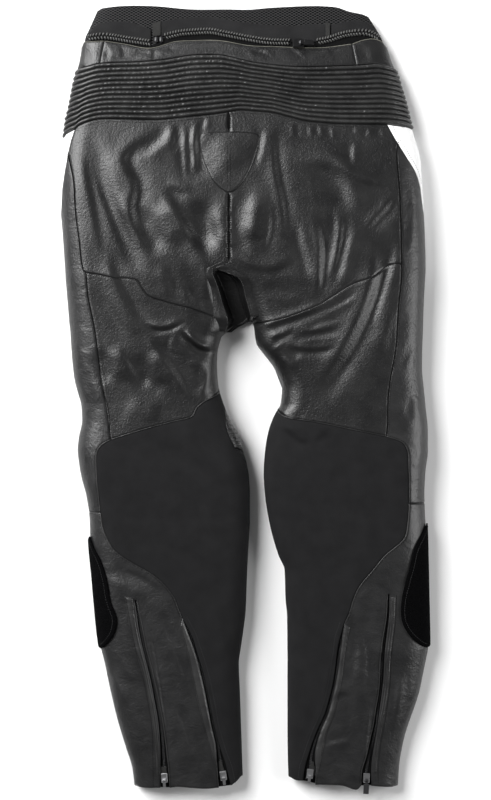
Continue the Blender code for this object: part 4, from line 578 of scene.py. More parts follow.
class Chart:
    """A flat drawing of cloth round an outer edge, an inner edge or the middle of the back or front."""

    def __init__(self, kind, side="L"):
        self.kind, self.side = kind, side

    def halves(self, p, v):
        """The half and the unrolled distance of each point of the drawing."""
        if self.kind == "outer":
            return [(self.side, p, np.ones(len(p), bool))]
        if self.kind == "inner":
            s = section(self.side, v)
            return [(self.side, np.where(p >= 0, p - s["top"], s["low"] + p), np.ones(len(p), bool))]
        left, right = section("L", v), section("R", v)
        if self.kind == "back":
            return [("L", -(left["top"] + p), p < 0), ("R", -(right["top"] - p), p >= 0)]
        return [("L", left["low"] + p, p < 0), ("R", right["low"] - p, p >= 0)]

    def solid(self, flat, depth):
        """Points of the cloth, each at its own depth below the outer surface."""
        p, v = np.array(flat, float).T
        depth = np.broadcast_to(np.asarray(depth, float), p.shape)
        out = np.zeros((len(p), 3))
        for side, u, mine in self.halves(p, v):
            if mine.any():
                at, out_way = place(side, u[mine], v[mine]), outward(side, u[mine], v[mine])
                out[mine] = at - depth[mine, None] * out_way
        return out

    def knot(self, point):
        """Where a seam's point lies in the drawing. A point is across and down on the upper side, or it
        names where it is: ("rim", half, u, down), ("inner", down) or ("under", across, down)."""
        if point[0] == "inner":
            down = point[1]
            s = section(self.side, down * STEP)
            if self.kind == "inner":
                return 0.0, down * STEP
            return (float(s["low"]) if point[-1] == "low" else -float(s["top"])), down * STEP
        if point[0] == "rim":
            side, u, down = point[1:]
        elif point[0] == "under":
            down = point[2]
            side = self.side
            if self.kind == "front":
                side = "L" if point[1] < CENTRE else "R"
            u = lower_u(side, point[1], down)
        else:
            down = point[1]
            side = self.side
            if self.kind == "back":
                side = "L" if point[0] < CENTRE else "R"
            u = upper_u(side, point[0], down)
        if self.kind == "outer":
            return u, down * STEP
        s = section(side, down * STEP)
        reach = float(s["top"]) + u if self.kind in ("inner", "back") and u <= 0.02 else float(s["low"]) - u
        if self.kind == "inner":
            return (reach if u <= 0 else -reach), down * STEP
        if self.kind == "back":
            reach = float(s["top"]) + u
        return (-reach if side == "L" else reach), down * STEP


def back(points):
    return list(reversed(points))


def inner_run(start, stop, layer="top"):
    """Knots down or up the inner edge of a half."""
    n = max(1, math.ceil(abs(stop - start) * STEP / FINE_KNOT))
    return [("inner", start + (stop - start) * i / n, layer) for i in range(n + 1)]


def rim_run(side, rows):
    """Knots along a line that rows of (u, down) give, round the outer edge."""
    out = []
    for (u0, d0), (u1, d1) in zip(rows, rows[1:]):
        n = max(1, math.ceil(math.hypot(u1 - u0, (d1 - d0) * STEP) / FINE_KNOT))
        out += [("rim", side, u0 + (u1 - u0) * i / n, d0 + (d1 - d0) * i / n) for i in range(n)]
    return out + [("rim", side, *rows[-1])]


def under_run(points):
    return [("under", x, y) for x, y in finely(points, UNDER_KNOT)]


def outline(chart, runs):
    """The closed line that runs of knots make, with no point twice."""
    flat = []
    for run in runs:
        for point in run:
            p = chart.knot(point)
            if not flat or math.dist(p, flat[-1]) > 1e-5:
                flat.append(p)
    while math.dist(flat[0], flat[-1]) < 1e-5:
        flat.pop()
    return flat


def area_of(flat):
    """The area inside a closed line, below nought if the line runs the other way round."""
    return sum(a[0] * b[1] - b[0] * a[1] for a, b in zip(flat, flat[1:] + flat[:1])) / 2


def pulled_in(flat, gap):
    """The same line a little smaller, so that two panels don't touch at their seam."""
    n = len(flat)
    sign = 1 if area_of(flat) > 0 else -1
    out = []
    for i in range(n):
        a, b, c = Vector(flat[i - 1]), Vector(flat[i]), Vector(flat[(i + 1) % n])
        d0, d1 = (b - a).normalized(), (c - b).normalized()
        n0, n1 = Vector((-d0.y, d0.x)) * sign, Vector((-d1.y, d1.x)) * sign
        mid = n0 + n1
        if mid.length < 1e-6:
            mid = n0.copy()
        mid.normalize()
        out.append(tuple(b + mid * gap / max(mid.dot(n0), 0.35)))
    return out


def finely(points, gap=FINE_KNOT):
    return flowing(points, gap, closed=tuple(points[0]) == tuple(points[-1]))


def inside(flat, points):
    """Which points lie inside a closed line, and how far each is from it."""
    a = np.array(flat)
    b = np.roll(a, -1, axis=0)
    d = b - a
    square = np.maximum((d**2).sum(1), 1e-18)
    within, gap = np.zeros(len(points), bool), np.zeros(len(points))
    for start in range(0, len(points), 4000):
        x, y = points[start:start + 4000, :1], points[start:start + 4000, 1:]
        rise = np.where(d[:, 1] == 0, 1e-12, d[:, 1])
        crosses = ((a[:, 1] > y) != (b[:, 1] > y)) & (x < d[:, 0] * (y - a[:, 1]) / rise + a[:, 0])
        t = np.clip(((x - a[:, 0]) * d[:, 0] + (y - a[:, 1]) * d[:, 1]) / square, 0, 1)
        gap[start:start + 4000] = np.hypot(x - a[:, 0] - t * d[:, 0], y - a[:, 1] - t * d[:, 1]).min(1)
        within[start:start + 4000] = crosses.sum(1) % 2 == 1
    return within, gap


def filled(flat, cell, rings):
    """Triangles over the area inside a line: rings of points along it and a staggered grid within."""
    lo, hi = np.min(flat, 0), np.max(flat, 0)
    row = cell * 0.87
    j = np.arange(math.floor(lo[1] / row), math.ceil(hi[1] / row) + 1)
    i = np.arange(math.floor(lo[0] / cell) - 1, math.ceil(hi[0] / cell) + 1)
    gi, gj = np.meshgrid(i, j)
    grid = np.stack([(gi * cell + (gj % 2) * cell / 2).ravel(), (gj * row).ravel()], 1)
    within, gap = inside(flat, grid)
    last = rings[-1] if rings else 0
    keep = within & (gap > last + cell * 0.45)
    points, gaps = [np.array(flat)], [np.zeros(len(flat))]
    for ring in rings:
        p = np.array(pulled_in(flat, ring))
        ok, far = inside(flat, p)
        ok &= far > ring * 0.9
        points.append(p[ok])
        gaps.append(far[ok])
    points.append(grid[keep])
    gaps.append(gap[keep])
    points, gaps = np.vstack(points), np.concatenate(gaps)
    loop = list(range(len(flat)))
    verts, _, faces, source, *_ = delaunay_2d_cdt([Vector(p) for p in points], [], [loop], 1, 1e-7)
    gap_of = np.array([gaps[s[0]] if s else 0.0 for s in source])
    return np.array([tuple(p) for p in verts]), np.array([tuple(f) for f in faces]), gap_of


def mesh_object(name, verts, faces, material):
    mesh = bpy.data.meshes.new(name)
    mesh.from_pydata([tuple(p) for p in np.asarray(verts, float).tolist()], [], [tuple(f) for f in faces])
    mesh.validate()
    mesh.polygons.foreach_set("use_smooth", [True] * len(mesh.polygons))
    obj = bpy.data.objects.new(name, mesh)
    bpy.context.scene.collection.objects.link(obj)
    mesh.materials.append(material)
    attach(obj, "trousers")
    return obj


def rim_edges(faces):
    """The edges that only one triangle uses, each in the order of its triangle."""
    f = np.asarray(faces)
    edges = np.vstack([f[:, [0, 1]], f[:, [1, 2]], f[:, [2, 0]]])
    key = np.sort(edges, axis=1)
    index, count = np.unique(key, axis=0, return_inverse=True, return_counts=True)[1:]
    return edges[count[index.ravel()] == 1]


MIX_DARK, MIX_LIGHT, MIX_OUT = 6, 7, 2  # the colour sockets of a mix node


class Look:
    """A node material, with short ways to add its nodes and link them."""

    def __init__(self, name, rough=0.5, shine=0.5):
        self.made = bpy.data.materials.new(name)
        self.made.use_nodes = True
        self.tree = self.made.node_tree
        self.shader = self.tree.nodes["Principled BSDF"]
        self.shader.inputs["Roughness"].default_value = rough
        self.shader.inputs["Specular IOR Level"].default_value = shine
        self.normal = None

    def node(self, kind, **values):
        """Adds a node. Each value sets the input of that name, or else a property."""
        made = self.tree.nodes.new("ShaderNode" + kind)
        for key, value in values.items():
            if key in made.inputs:
                made.inputs[key].default_value = value
            else:
                setattr(made, key, value)
        return made

    def link(self, a, b):
        self.tree.links.new(a, b)

    def pattern(self, kind, turned=None, **values):
        """A texture in the piece's own space, turned by some degrees where that is asked for."""
        where = self.node("TexCoord").outputs["Object"]
        if turned is not None:
            spin = self.node("Mapping", Rotation=(0, 0, math.radians(turned)))
            self.link(where, spin.inputs["Vector"])
            where = spin.outputs["Vector"]
        made = self.node("Tex" + kind, **values)
        self.link(where, made.inputs["Vector"])
        return made

    def combined(self, operation, *terms):
        """The outcome of a calculation with sockets and numbers."""
        made = self.node("Math", operation=operation)
        for socket, term in zip(made.inputs, terms):
            if isinstance(term, float):
                socket.default_value = term
            else:
                self.link(term, socket)
        return made.outputs[0]

    def spread(self, value, lowest, highest, start=0.0, end=1.0):
        """A value that runs from start to end, spread from lowest to highest."""
        made = self.node("MapRange")
        made.inputs["From Min"].default_value, made.inputs["From Max"].default_value = start, end
        made.inputs["To Min"].default_value, made.inputs["To Max"].default_value = lowest, highest
        self.link(value, made.inputs["Value"])
        return made.outputs["Result"]

    def colours(self, factor, dark, light):
        """Colours the surface from dark to light as the factor goes from 0 to 1."""
        mix = self.node("Mix", data_type="RGBA")
        mix.inputs[MIX_DARK].default_value, mix.inputs[MIX_LIGHT].default_value = (*dark, 1), (*light, 1)
        self.link(factor, mix.inputs["Factor"])
        self.link(mix.outputs[MIX_OUT], self.shader.inputs["Base Color"])

    def relief(self, height, strength, distance, **values):
        """Raises the surface by a height, on top of the reliefs before it."""
        made = self.node("Bump", Strength=strength, Distance=distance, **values)
        self.link(height, made.inputs["Height"])
        if self.normal:
            self.link(self.normal, made.inputs["Normal"])
        self.normal = made.outputs["Normal"]
        self.link(self.normal, self.shader.inputs["Normal"])


def leather(name, dark, light, rough, grain=1.0, swell=0.4):
    """Fine pebbled leather: small cells over creases and wide swells, with an uneven tone."""
    look = Look(name)
    wide = look.pattern("Noise", Scale=34.0, Detail=5.0, Roughness=0.6).outputs["Fac"]
    look.colours(look.spread(wide, 0.0, 1.0, 0.35, 0.68), dark, light)
    look.link(look.spread(wide, rough - 0.06, rough + 0.08), look.shader.inputs["Roughness"])
    swells = look.pattern("Noise", Scale=42.0, Detail=3.0, Roughness=0.55, Distortion=0.6)
    look.relief(swells.outputs["Fac"], swell, 0.0045)
    creases = look.pattern("Noise", Scale=330.0, Detail=3.0, Roughness=0.6)
    look.relief(creases.outputs["Fac"], 0.32 * grain, 0.0009)
    cells = look.pattern("Voronoi", Scale=620.0, feature="SMOOTH_F1", Smoothness=0.6)
    fine = look.pattern("Noise", Scale=900.0, Detail=2.0)
    pebbles = look.combined("ADD", cells.outputs["Distance"], fine.outputs["Fac"])
    look.relief(pebbles, 0.42 * grain, 0.00022)
    return look.made


def weave(name, dark, light, rough, scale):
    """Knitted or woven cloth: two crossing waves of yarn and a soft uneven tone."""
    look = Look(name, rough, 0.12)
    both = look.combined("MULTIPLY", *(
        look.pattern("Wave", Scale=scale, Distortion=0.4, bands_direction=way).outputs["Fac"] for way in "XY"
    ))
    tone = look.pattern("Noise", Scale=55.0, Detail=4.0).outputs["Fac"]
    look.colours(look.combined("MULTIPLY_ADD", both, 0.5, tone), dark, light)
    look.relief(both, 0.5, 0.0004)
    return look.made


def fuzz(name):
    """Hook and loop cloth: a thick mat of short loops that swallows the light."""
    look = Look(name, 0.95, 0.03)
    tufts = look.pattern("Noise", Scale=420.0, Detail=4.0, Roughness=0.7)
    look.colours(tufts.outputs["Fac"], (0.0004, 0.0004, 0.0005), (0.0032, 0.0032, 0.0036))
    look.relief(look.pattern("Voronoi", Scale=700.0).outputs["Distance"], 1.0, 0.0008)
    return look.made


def open_knit(name):
    """The waistband's stretch mesh: rows of small slanting holes between paler yarns, with painted shade in
    the holes.
    """
    look = Look(name, 0.7, 0.08)
    crossed = look.combined("MULTIPLY", *(
        look.pattern("Wave", angle, Scale=104.0, bands_direction="Y").outputs["Fac"] for angle in (30, -30)
    ))
    painted_hole_shade = look.spread(crossed, 0.0, 1.0, 0.06, 0.22)
    # The holes are painted near-black: painted shade seen through them.
    look.colours(painted_hole_shade, (0.036, 0.036, 0.037), (0.0002, 0.0002, 0.0002))
    look.relief(painted_hole_shade, 0.8, 0.0006, invert=True)
    return look.made


def metal(name, colour, rough):
    """Cast zip metal with fine scratches."""
    look = Look(name)
    marks = look.pattern("Noise", Scale=1500.0, Detail=3.0).outputs["Fac"]
    look.link(look.spread(marks, rough - 0.1, rough + 0.15), look.shader.inputs["Roughness"])
    look.shader.inputs["Base Color"].default_value = (*colour, 1)
    look.shader.inputs["Metallic"].default_value = 1.0
    look.relief(marks, 0.2, 0.0001)
    return look.made


def plastic(name, colour, rough):
    """Moulded plastic with a faint spark-eroded skin."""
    look = Look(name, rough)
    skin = look.pattern("Noise", Scale=2200.0, Detail=2.0).outputs["Fac"]
    look.colours(skin, colour, [c * 1.5 for c in colour])
    look.relief(skin, 0.15, 0.0001)
    return look.made


# Lighter than the seat's leather though it is the same black leather: partly painted highlight on the calves
# and side panels.
BLACK = leather("leather black", (0.008, 0.008, 0.0084), (0.016, 0.016, 0.0164),
                rough=0.39, grain=1.2, swell=0.3)
SUPPLE = leather("leather of the seat", (0.0045, 0.0045, 0.0048), (0.0105, 0.0105, 0.0106),
                 rough=0.375, grain=1.5, swell=0.1)
# The accordion's leather is a lighter copy of the seat leather: the lift in tone is painted sheen on the
# ribs.
RIBBED_PAINTED_SHEEN = leather("leather of the accordion lightened as painted sheen", (0.012, 0.012, 0.0121), (0.028, 0.028, 0.0276),
                 rough=0.4, grain=0.9, swell=0.08)
# The strips' leather is a lighter copy of the black leather: the lift in tone is painted sheen on the welts
# and turned edges.
WELT_PAINTED_SHEEN = leather("leather of the strips lightened as painted sheen", (0.016, 0.016, 0.0164), (0.03, 0.03, 0.03), 0.34)
RAW = leather("raw leather edge", (0.10, 0.098, 0.08), (0.2, 0.195, 0.165), 0.8)
WHITE = leather("leather white", (0.9, 0.9, 0.9), (0.96, 0.96, 0.96), 0.5)
STRETCH = weave("stretch fabric", (0.006, 0.006, 0.0064), (0.0145, 0.0145, 0.0152), 0.9, 260.0)
TAPE_CLOTH = weave("zip tape", (0.0075, 0.0075, 0.0079), (0.02, 0.02, 0.0207), 0.85, 420.0)
TAB_CLOTH = weave("zip end tabs", (0.014, 0.014, 0.014), (0.032, 0.032, 0.031), 0.8, 420.0)
# A darker copy of the zip tape: painted shade in the leg slits and under the waist's leather edge.
TAPE_PAINTED_SHADE = weave("zip tape darkened as painted shade", (0.0015, 0.0015, 0.0016), (0.004, 0.004, 0.0042), 0.9, 420.0)
LOOPS = fuzz("hook and loop")
KNIT = open_knit("waist mesh")
STEEL = metal("zip metal", (0.42, 0.42, 0.43), 0.36)
GUNMETAL = metal("black zip metal", (0.05, 0.05, 0.052), 0.3)
TEETH = plastic("zip teeth", (0.012, 0.012, 0.013), 0.35)
# Lighter than the leg zip's teeth: partly the teeth's own dark grey, partly painted highlight on their tips.
WAIST_TEETH = plastic("waist zip teeth", (0.045, 0.045, 0.043), 0.3)
PULL = plastic("pull plastic", (0.012, 0.012, 0.013), 0.5)
# Black thread; the same dark material also makes cords laid in the side and centre seams as painted shade of
# their grooves.
THREAD_AND_SEAM_SHADE = weave("thread", (0.0015, 0.0015, 0.0016), (0.004, 0.004, 0.0042), 0.8, 900.0)
PALE_THREAD = weave("thread on cloth", (0.03, 0.03, 0.031), (0.06, 0.06, 0.062), 0.7, 900.0)
SLOT_LOOK = {
    "leather_black": BLACK, "leather_white": WHITE, "stretch_fabric": STRETCH, "hook_loop": LOOPS,
    "waist_mesh": KNIT, "zip_tape": TAPE_CLOTH,
}
# Pieces whose look differs from that of the rest of their slot, by how their names start. The accordion's and
# strips' leather is lightened as painted sheen, and the leg tapes and lower waist tape are darkened as
# painted shade.
OWN_LOOK = (
    (("seat", "thigh", "waist", "tail"), SUPPLE), (("accordion",), RIBBED_PAINTED_SHEEN),
    (("calf_welt", "ankle_welt"), WELT_PAINTED_SHEEN), (("calf_tape", "ankle_tape", "zip_tape_lower"), TAPE_PAINTED_SHADE),
)


def look_of(name, slot):
    """The look of a piece of cloth."""
    for starts, look in OWN_LOOK:
        if name.startswith(starts):
            return look
    return SLOT_LOOK[slot]


# How each kind of cloth meets its seams: dip in mm at the seam, how far in it reaches in mm, and the
# height and distance in mm of the soft ridge beside it
EDGES = {
    "leather_black": (0.5, 0.9, 0.14, 2.8),
    "leather_white": (0.5, 0.9, 0.1, 2.8),
    "stretch_fabric": (0.5, 1.2, 0.0, 3.0),
    "hook_loop": (0.5, 1.0, 0.0, 3.0),
    "waist_mesh": (0.2, 1.0, 0.0, 3.0),
    "zip_tape": (0.15, 0.6, 0.0, 3.0),
}
SHEETS = []


def quads(rows, n):
    """Faces between rows of n points each."""
    return [(j * n + i, j * n + i + 1, (j + 1) * n + i + 1, (j + 1) * n + i) for j in range(rows - 1)
            for i in range(n - 1)]


def panel(name, chart, runs, slot, thick=LEATHER, depth=0.0, under=False, gap=SEAM_GAP / 4, edge=None,
          look=None):
    """A piece of cloth as a fine shell, with its rim turned in along its seams."""
    cell, rings = (FINE_UNDER, (0.0012,)) if under else (FINE_CELL, (0.0007, 0.0016, 0.003))
    flat = pulled_in(outline(chart, runs), gap)
    points, faces, far = filled(flat, cell, rings)
    dip, reach, ridge, beside = edge or EDGES[slot]
    fall = dip / 1000 * np.exp(-((far / (reach / 1000)) ** 2)) - ridge / 1000 * np.exp(
        -(((far - beside / 1000) / 0.0016) ** 2)
    )
    verts = chart.solid(points, depth + fall)
    rim = rim_edges(faces)
    used = np.unique(rim)
    inner = chart.solid(points[used], depth + fall[used] + thick * 0.8)
    at = {int(k): len(verts) + i for i, k in enumerate(used)}
    turned = [(int(b), int(a), at[int(a)], at[int(b)]) for a, b in rim]
    verts = np.vstack([verts, inner])
    faces = [tuple(map(int, f)) for f in faces] + turned
    obj = mesh_object(name + "_cloth", verts, faces, look or look_of(name, slot))
    bm = bmesh.new()
    bm.from_mesh(obj.data)
    bmesh.ops.recalc_face_normals(bm, faces=bm.faces)
    bm.to_mesh(obj.data)
    bm.free()
    turn_out(obj, chart, points, depth)
    SHEETS.append((obj, np.ptp(np.array(flat), axis=0), abs(area_of(flat))))
    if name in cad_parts:
        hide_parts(name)


def cut_round(line):
    """The sides of a piece cut to a line with sharp corners: one run from each corner to the next."""
    n = len(line)
    p = np.array(line, float)
    one, two = p - np.roll(p, 1, axis=0), np.roll(p, -1, axis=0) - p
    before, after = (np.degrees(np.arctan2(d[:, 1], d[:, 0])) for d in (one, two))
    turn = np.abs((after - before + 180) % 360 - 180)
    corners = [i for i in range(n) if turn[i] > 42]  # degrees from which a turn counts as a corner
    return [finely([line[k % n] for k in range(a, b + 1)])
            for a, b in zip(corners, corners[1:] + [corners[0] + n])]


def turn_out(obj, chart, points, depth):
    """Turns a shell's faces outward if they look into the garment."""
    mesh = obj.data
    poly = mesh.polygons[len(mesh.polygons) // 3]
    middle = np.mean([mesh.vertices[i].co for i in poly.vertices], axis=0)
    flat = np.mean([points[i] for i in poly.vertices if i < len(points)], axis=0)
    above = chart.solid(flat[None], depth - 0.01)[0]
    if np.dot(above - middle, poly.normal) < 0:
        mesh.flip_normals()


def ribbed(name, chart, upper, lower, ribs, slot):
    """The accordion panel: rows of soft ribs, each gathered a little by its stitching."""
    a, b = resampled(chart, upper, RIB_COLUMNS), resampled(chart, lower, RIB_COLUMNS)
    rows = ribs * RIB_ROWS + 1
    t = np.linspace(0, 1, rows)[:, None, None]
    flat = a[None] * (1 - t) + b[None] * t
    phase = np.linspace(0, ribs, rows)[:, None] % 1.0
    roof = 1 - np.abs(2 * phase - 1) ** 1.7
    groove = np.exp(-((np.minimum(phase, 1 - phase) / 0.14) ** 2))
    u = flat[:, :, 0]
    which = np.floor(np.linspace(0, ribs - 1e-6, rows))[:, None]
    chance = np.random.default_rng(5).standard_normal((ribs, u.shape[1] + 40))
    fine = (chance[:, 1:-1] * 2 + chance[:, :-2] + chance[:, 2:]) / 2.4
    slow = np.abs(np.apply_along_axis(np.convolve, 1, chance, np.ones(19) / 4.4, "same"))[:, 1:-1]
    pucker = (fine * (0.35 + 0.65 * np.minimum(slow, 1.3)))[which.astype(int)[:, 0], :u.shape[1]]
    height = roof * (RIB_HEIGHT + RIB_PUCKER * pucker) - groove * RIB_GROOVE + RIB_LIFT
    p = flat.reshape(-1, 2)
    verts = chart.solid(p, -height.ravel())
    obj = mesh_object(name + "_cloth", verts, quads(rows, a.shape[0]), look_of(name, slot))
    turn_out(obj, chart, p, 0.0)
    SHEETS.append((obj, np.ptp(p, axis=0), None))
    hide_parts(name)


def drawn(chart, points):
    """The curve through a seam's knots in the drawing of the cloth, and how far along each point is."""
    flat = np.array(flowing([tuple(np.array(chart.knot(p)) / STEP) for p in points], 0.002)) * STEP
    return flat, np.concatenate([[0], np.cumsum(np.linalg.norm(np.diff(flat, axis=0), axis=1))])


def resampled(chart, points, n):
    """n points evenly along the curve through a seam's knots, in the drawing of the cloth."""
    flat, long = drawn(chart, points)
    t = np.linspace(0, long[-1], n)
    return np.stack([np.interp(t, long, flat[:, 0]), np.interp(t, long, flat[:, 1])], 1)


def leg_panels(side):
    """The panels of one half that both halves have, each from its own seams."""
    left = side == "L"
    word = "left" if left else "right"
    chart = Chart("outer", side)
    knee = Chart("inner", side)
    waist_out = WAIST_TOP_LEFT if left else WAIST_TOP_RIGHT
    waist_seam = WAIST_SEAM_LEFT if left else WAIST_SEAM_RIGHT
    accordion_out = ACCORDION_TOP_LEFT if left else ACCORDION_TOP_RIGHT
    accordion_low = ACCORDION_BOTTOM_LEFT if left else ACCORDION_BOTTOM_RIGHT
    yoke = YOKE_LEFT if left else YOKE_RIGHT
    high, low = (SIDE_LEFT_HIGH, SIDE_LEFT_LOW) if left else (SIDE_RIGHT_HIGH, SIDE_RIGHT_LOW)
    white, white_low = (WHITE_LEFT, WHITE_LEFT_LOW) if left else (WHITE_RIGHT, WHITE_RIGHT_LOW)
    stretch_top = STRETCH_TOP_LEFT if left else STRETCH_TOP_RIGHT
    stretch_side = STRETCH_SIDE_LEFT if left else STRETCH_SIDE_RIGHT
    stretch_calf = STRETCH_CALF_LEFT if left else STRETCH_CALF_RIGHT
    cross = CROSS_LEFT if left else CROSS_RIGHT
    ankle_calf = ANKLE_LEFT_CALF if left else ANKLE_RIGHT_CALF
    ankle_stretch = ANKLE_LEFT_STRETCH if left else ANKLE_RIGHT_STRETCH
    calf_out = CALF_LEFT_OUT if left else CALF_RIGHT_OUT
    calf_in = CALF_LEFT_IN if left else CALF_RIGHT_IN
    hem_out = HEM_LEFT_OUT if left else HEM_RIGHT_OUT
    hem_in = HEM_LEFT_IN if left else HEM_RIGHT_IN
    hem_stretch = HEM_LEFT_STRETCH if left else HEM_RIGHT_STRETCH
    corner = 138.5 if left else 129.5  # where the accordion's outer end stops
    cross_down = cross[0][1]
    yoke_end, thigh_end = (318, 391) if left else (323.6, 409)
    tip = 246 if left else 284
    # Shared lines round the outer edge
    end_line = rim_run(side, ((0.006, 71), (0.006, corner)))
    white_edge = rim_run(side, ((-0.0016, 214), (-0.0016, tip)))
    white_under = rim_run(side, ((0.006, corner), (0.014, corner + 12), (0.014, 200), (0.006, tip)))
    side_under = rim_run(side, ((0.006, tip), (0.014, tip + 20), (WRAP, tip + 50))) + rim_run(
        side, ((WRAP, tip + 50), (WRAP, 405)))
    knee_under = rim_run(side, ((WRAP, 405), (WRAP, 450)))
    shin_under = rim_run(side, ((WRAP, 450), (WRAP, cross_down)))
    calf_under = rim_run(side, ((WRAP_CALF, cross_down), (WRAP_CALF, 786)))
    cross_under = rim_run(side, ((WRAP, cross_down), (WRAP_CALF, cross_down)))
    waist_low = rim_run(side, ((0.006, 71), (WRAP, 73)))

    panel(
        f"waist_side_{word}", chart,
        [finely(waist_out if left else back(waist_out)), finely(waist_seam),
         back(finely(accordion_out)) if left else finely(accordion_out),
         rim_run(side, ((-0.002, 69.5), (0.006, 71))), waist_low, rim_run(side, ((WRAP, 73), (WRAP, 44.5)))],
        "leather_black",
    )
    seat_edge = [("inner", d, "top") for d in (114.3, 135, 165, 195, 216, 232, 248, 262, 268)] + inner_run(
        270, yoke_end
    )
    panel(
        f"seat_{word}", chart,
        [finely(accordion_low) if left else back(finely(accordion_low)), seat_edge,
         back(finely(yoke)), back(finely(high)), back(finely(white))],
        "leather_black",
    )
    white_end = (-0.014, 134.75) if left else (-0.0215, 128.05)
    white_top = rim_run(side, ((0.006, corner), (-0.004, corner), white_end))
    panel(
        f"white_hip_{word}", chart,
        [finely(white), finely(white_low), white_edge, back(white_under), white_top],
        "leather_white", gap=0.0005,
    )
    panel(
        f"thigh_{word}", chart,
        [finely(yoke), inner_run(yoke_end, thigh_end), finely(stretch_top),
         back(finely(low))],
        "leather_black",
    )
    panel(
        f"side_panel_{word}", chart,
        [finely(high), finely(low), finely(stretch_side), back(finely(cross)),
         rim_run(side, ((0, cross_down), (WRAP, cross_down))), back(shin_under), back(knee_under),
         back(side_under), back(white_edge), back(finely(white_low))],
        "leather_black",
    )
    hem_corner = 777 if left else 778
    if left:
        inner_line = [*inner_run(450, hem_corner)]
        stretch_inner = back(inner_line) + back(finely(KNEE_LEFT)) + back(inner_run(thigh_end, 409))
    else:
        stretch_inner = back(inner_run(thigh_end, hem_corner))
    panel(
        f"stretch_{word}", chart,
        [finely(stretch_top), finely(stretch_side), finely(stretch_calf), finely(ankle_stretch),
         finely(hem_stretch), stretch_inner],
        "stretch_fabric", thick=FABRIC,
    )
    panel(
        f"calf_{word}", chart,
        [finely(cross), finely(stretch_calf), finely(ankle_calf), back(finely(hem_in)),
         back(finely(calf_in)), finely(calf_out), finely(hem_out),
         rim_run(side, ((0, 787), (WRAP_CALF, 786))), back(calf_under), back(cross_under),
         rim_run(side, ((WRAP, cross_down), (0, cross_down)))],
        "leather_black",
    )
    # The front, plain and lying flat
    fly, waist_end, knee_end = (219, 96, 110) if left else (239, 372, 398)
    waist_line = under_run(((waist_end, 73), (fly, 73)))
    knee_high = under_run(((210 if left else 288, 405), (knee_end, 405)))
    knee_low = under_run(((knee_end, 450), (232 if left else 275, 450)))
    plain = {"slot": "leather_black", "under": True, "gap": 0.0004}
    panel(
        f"front_waist_{word}", chart,
        [rim_run(side, ((WRAP, 44.5), (WRAP, 73))), waist_line, back(under_run(((fly, 46), (fly, 73)))),
         under_run(((fly, 46), (104 if left else 352, 45)))],
        **plain,
    )
    rows = (190, 215, 240, 262, 275, 290, 303, 312, 317, 320, 325, 330, 337, 350, 368, 389, 405)
    panel(
        f"front_thigh_{word}", chart,
        [waist_low, waist_line, under_run(((fly, 73), (fly, 190))), [("inner", d, "low") for d in rows],
         knee_high, back(side_under), back(white_under), back(end_line)],
        **plain,
    )
    if left:
        around = [("inner", 405, "low"), ("inner", 409, "low"), *finely(KNEE_LEFT), ("inner", 450, "low")]
    else:
        around = inner_run(405, 450, "low")
    panel(f"knee_front_{word}", knee, [knee_under, knee_low, back(around), knee_high], **plain)
    panel(
        f"shin_front_{word}", chart,
        [knee_low, inner_run(450, hem_corner, "low"),
         under_run(((230 if left else 303, 782), (178 if left else 352, 786))), back(calf_under),
         back(cross_under), back(shin_under)],
        **plain,
    )
    # Zip tapes behind the two slits of the leg, in the darker tape that paints the slits' shade
    way = 1 if left else -1
    for name, one, two in (("calf", calf_out, calf_in), ("ankle", ankle_calf, ankle_stretch)):
        near = [(x - 4.5 * way, y) for x, y in one]
        far = [(x + (4.5 if name == "calf" else 2.6) * way, y) for x, y in two]
        panel(f"{name}_tape_{word}", chart, [finely(near), back(finely(far))], "zip_tape", thick=TAPE,
              depth=TAPE_DEPTH)
    # Hook and loop patch over the calf's outer edge
    patch = PATCH_LEFT if left else PATCH_RIGHT
    top, low_end = patch[0][1], patch[-1][1]
    under = ((0.002, top + 2), (0.009, top + 24), (0.01, (top + low_end) / 2 + 8), (0.009, low_end - 14),
             (0.002, low_end))
    panel(
        f"knee_patch_{word}", chart, [finely(patch), back(rim_run(side, under))],
        "hook_loop", thick=PATCH, depth=-PATCH - 0.0015,
    )


# Trims
def layout_sign(chart):
    return -1 if chart.kind == "outer" and chart.side == "L" else 1


def course_of(chart, points, offset=0.0, gap=0.0012, start=0.0, stop=0.0):
    """Points along a seam in the drawing of the cloth. An offset in mm above nought goes to the right of
    a course that runs down the layout, and above one that runs to the right."""
    flat, long = drawn(chart, points)
    flat[:, 0] *= layout_sign(chart)
    t = np.arange(start / 1000, long[-1] - stop / 1000, gap)
    p = np.stack([np.interp(t, long, flat[:, 0]), np.interp(t, long, flat[:, 1])], 1)
    if len(p) < 3:
        return p * (layout_sign(chart), 1)
    d = np.gradient(p, axis=0)
    for _ in range(3):
        d[1:-1] = (d[:-2] + d[1:-1] + d[2:]) / 3
    d /= np.linalg.norm(d, axis=1, keepdims=True)
    p = p + np.stack([d[:, 1], -d[:, 0]], 1) * offset / 1000
    p[:, 0] *= layout_sign(chart)
    return p


def frames(chart, flat, depth):
    """Positions with the directions along, across and out of the cloth."""
    at = chart.solid(flat, depth)
    out = at - chart.solid(flat, depth + 0.001)
    along = np.gradient(at, axis=0)
    along /= np.linalg.norm(along, axis=1, keepdims=True)
    out -= along * (out * along).sum(1, keepdims=True)
    out /= np.linalg.norm(out, axis=1, keepdims=True)
    return at, along, np.cross(along, out), out


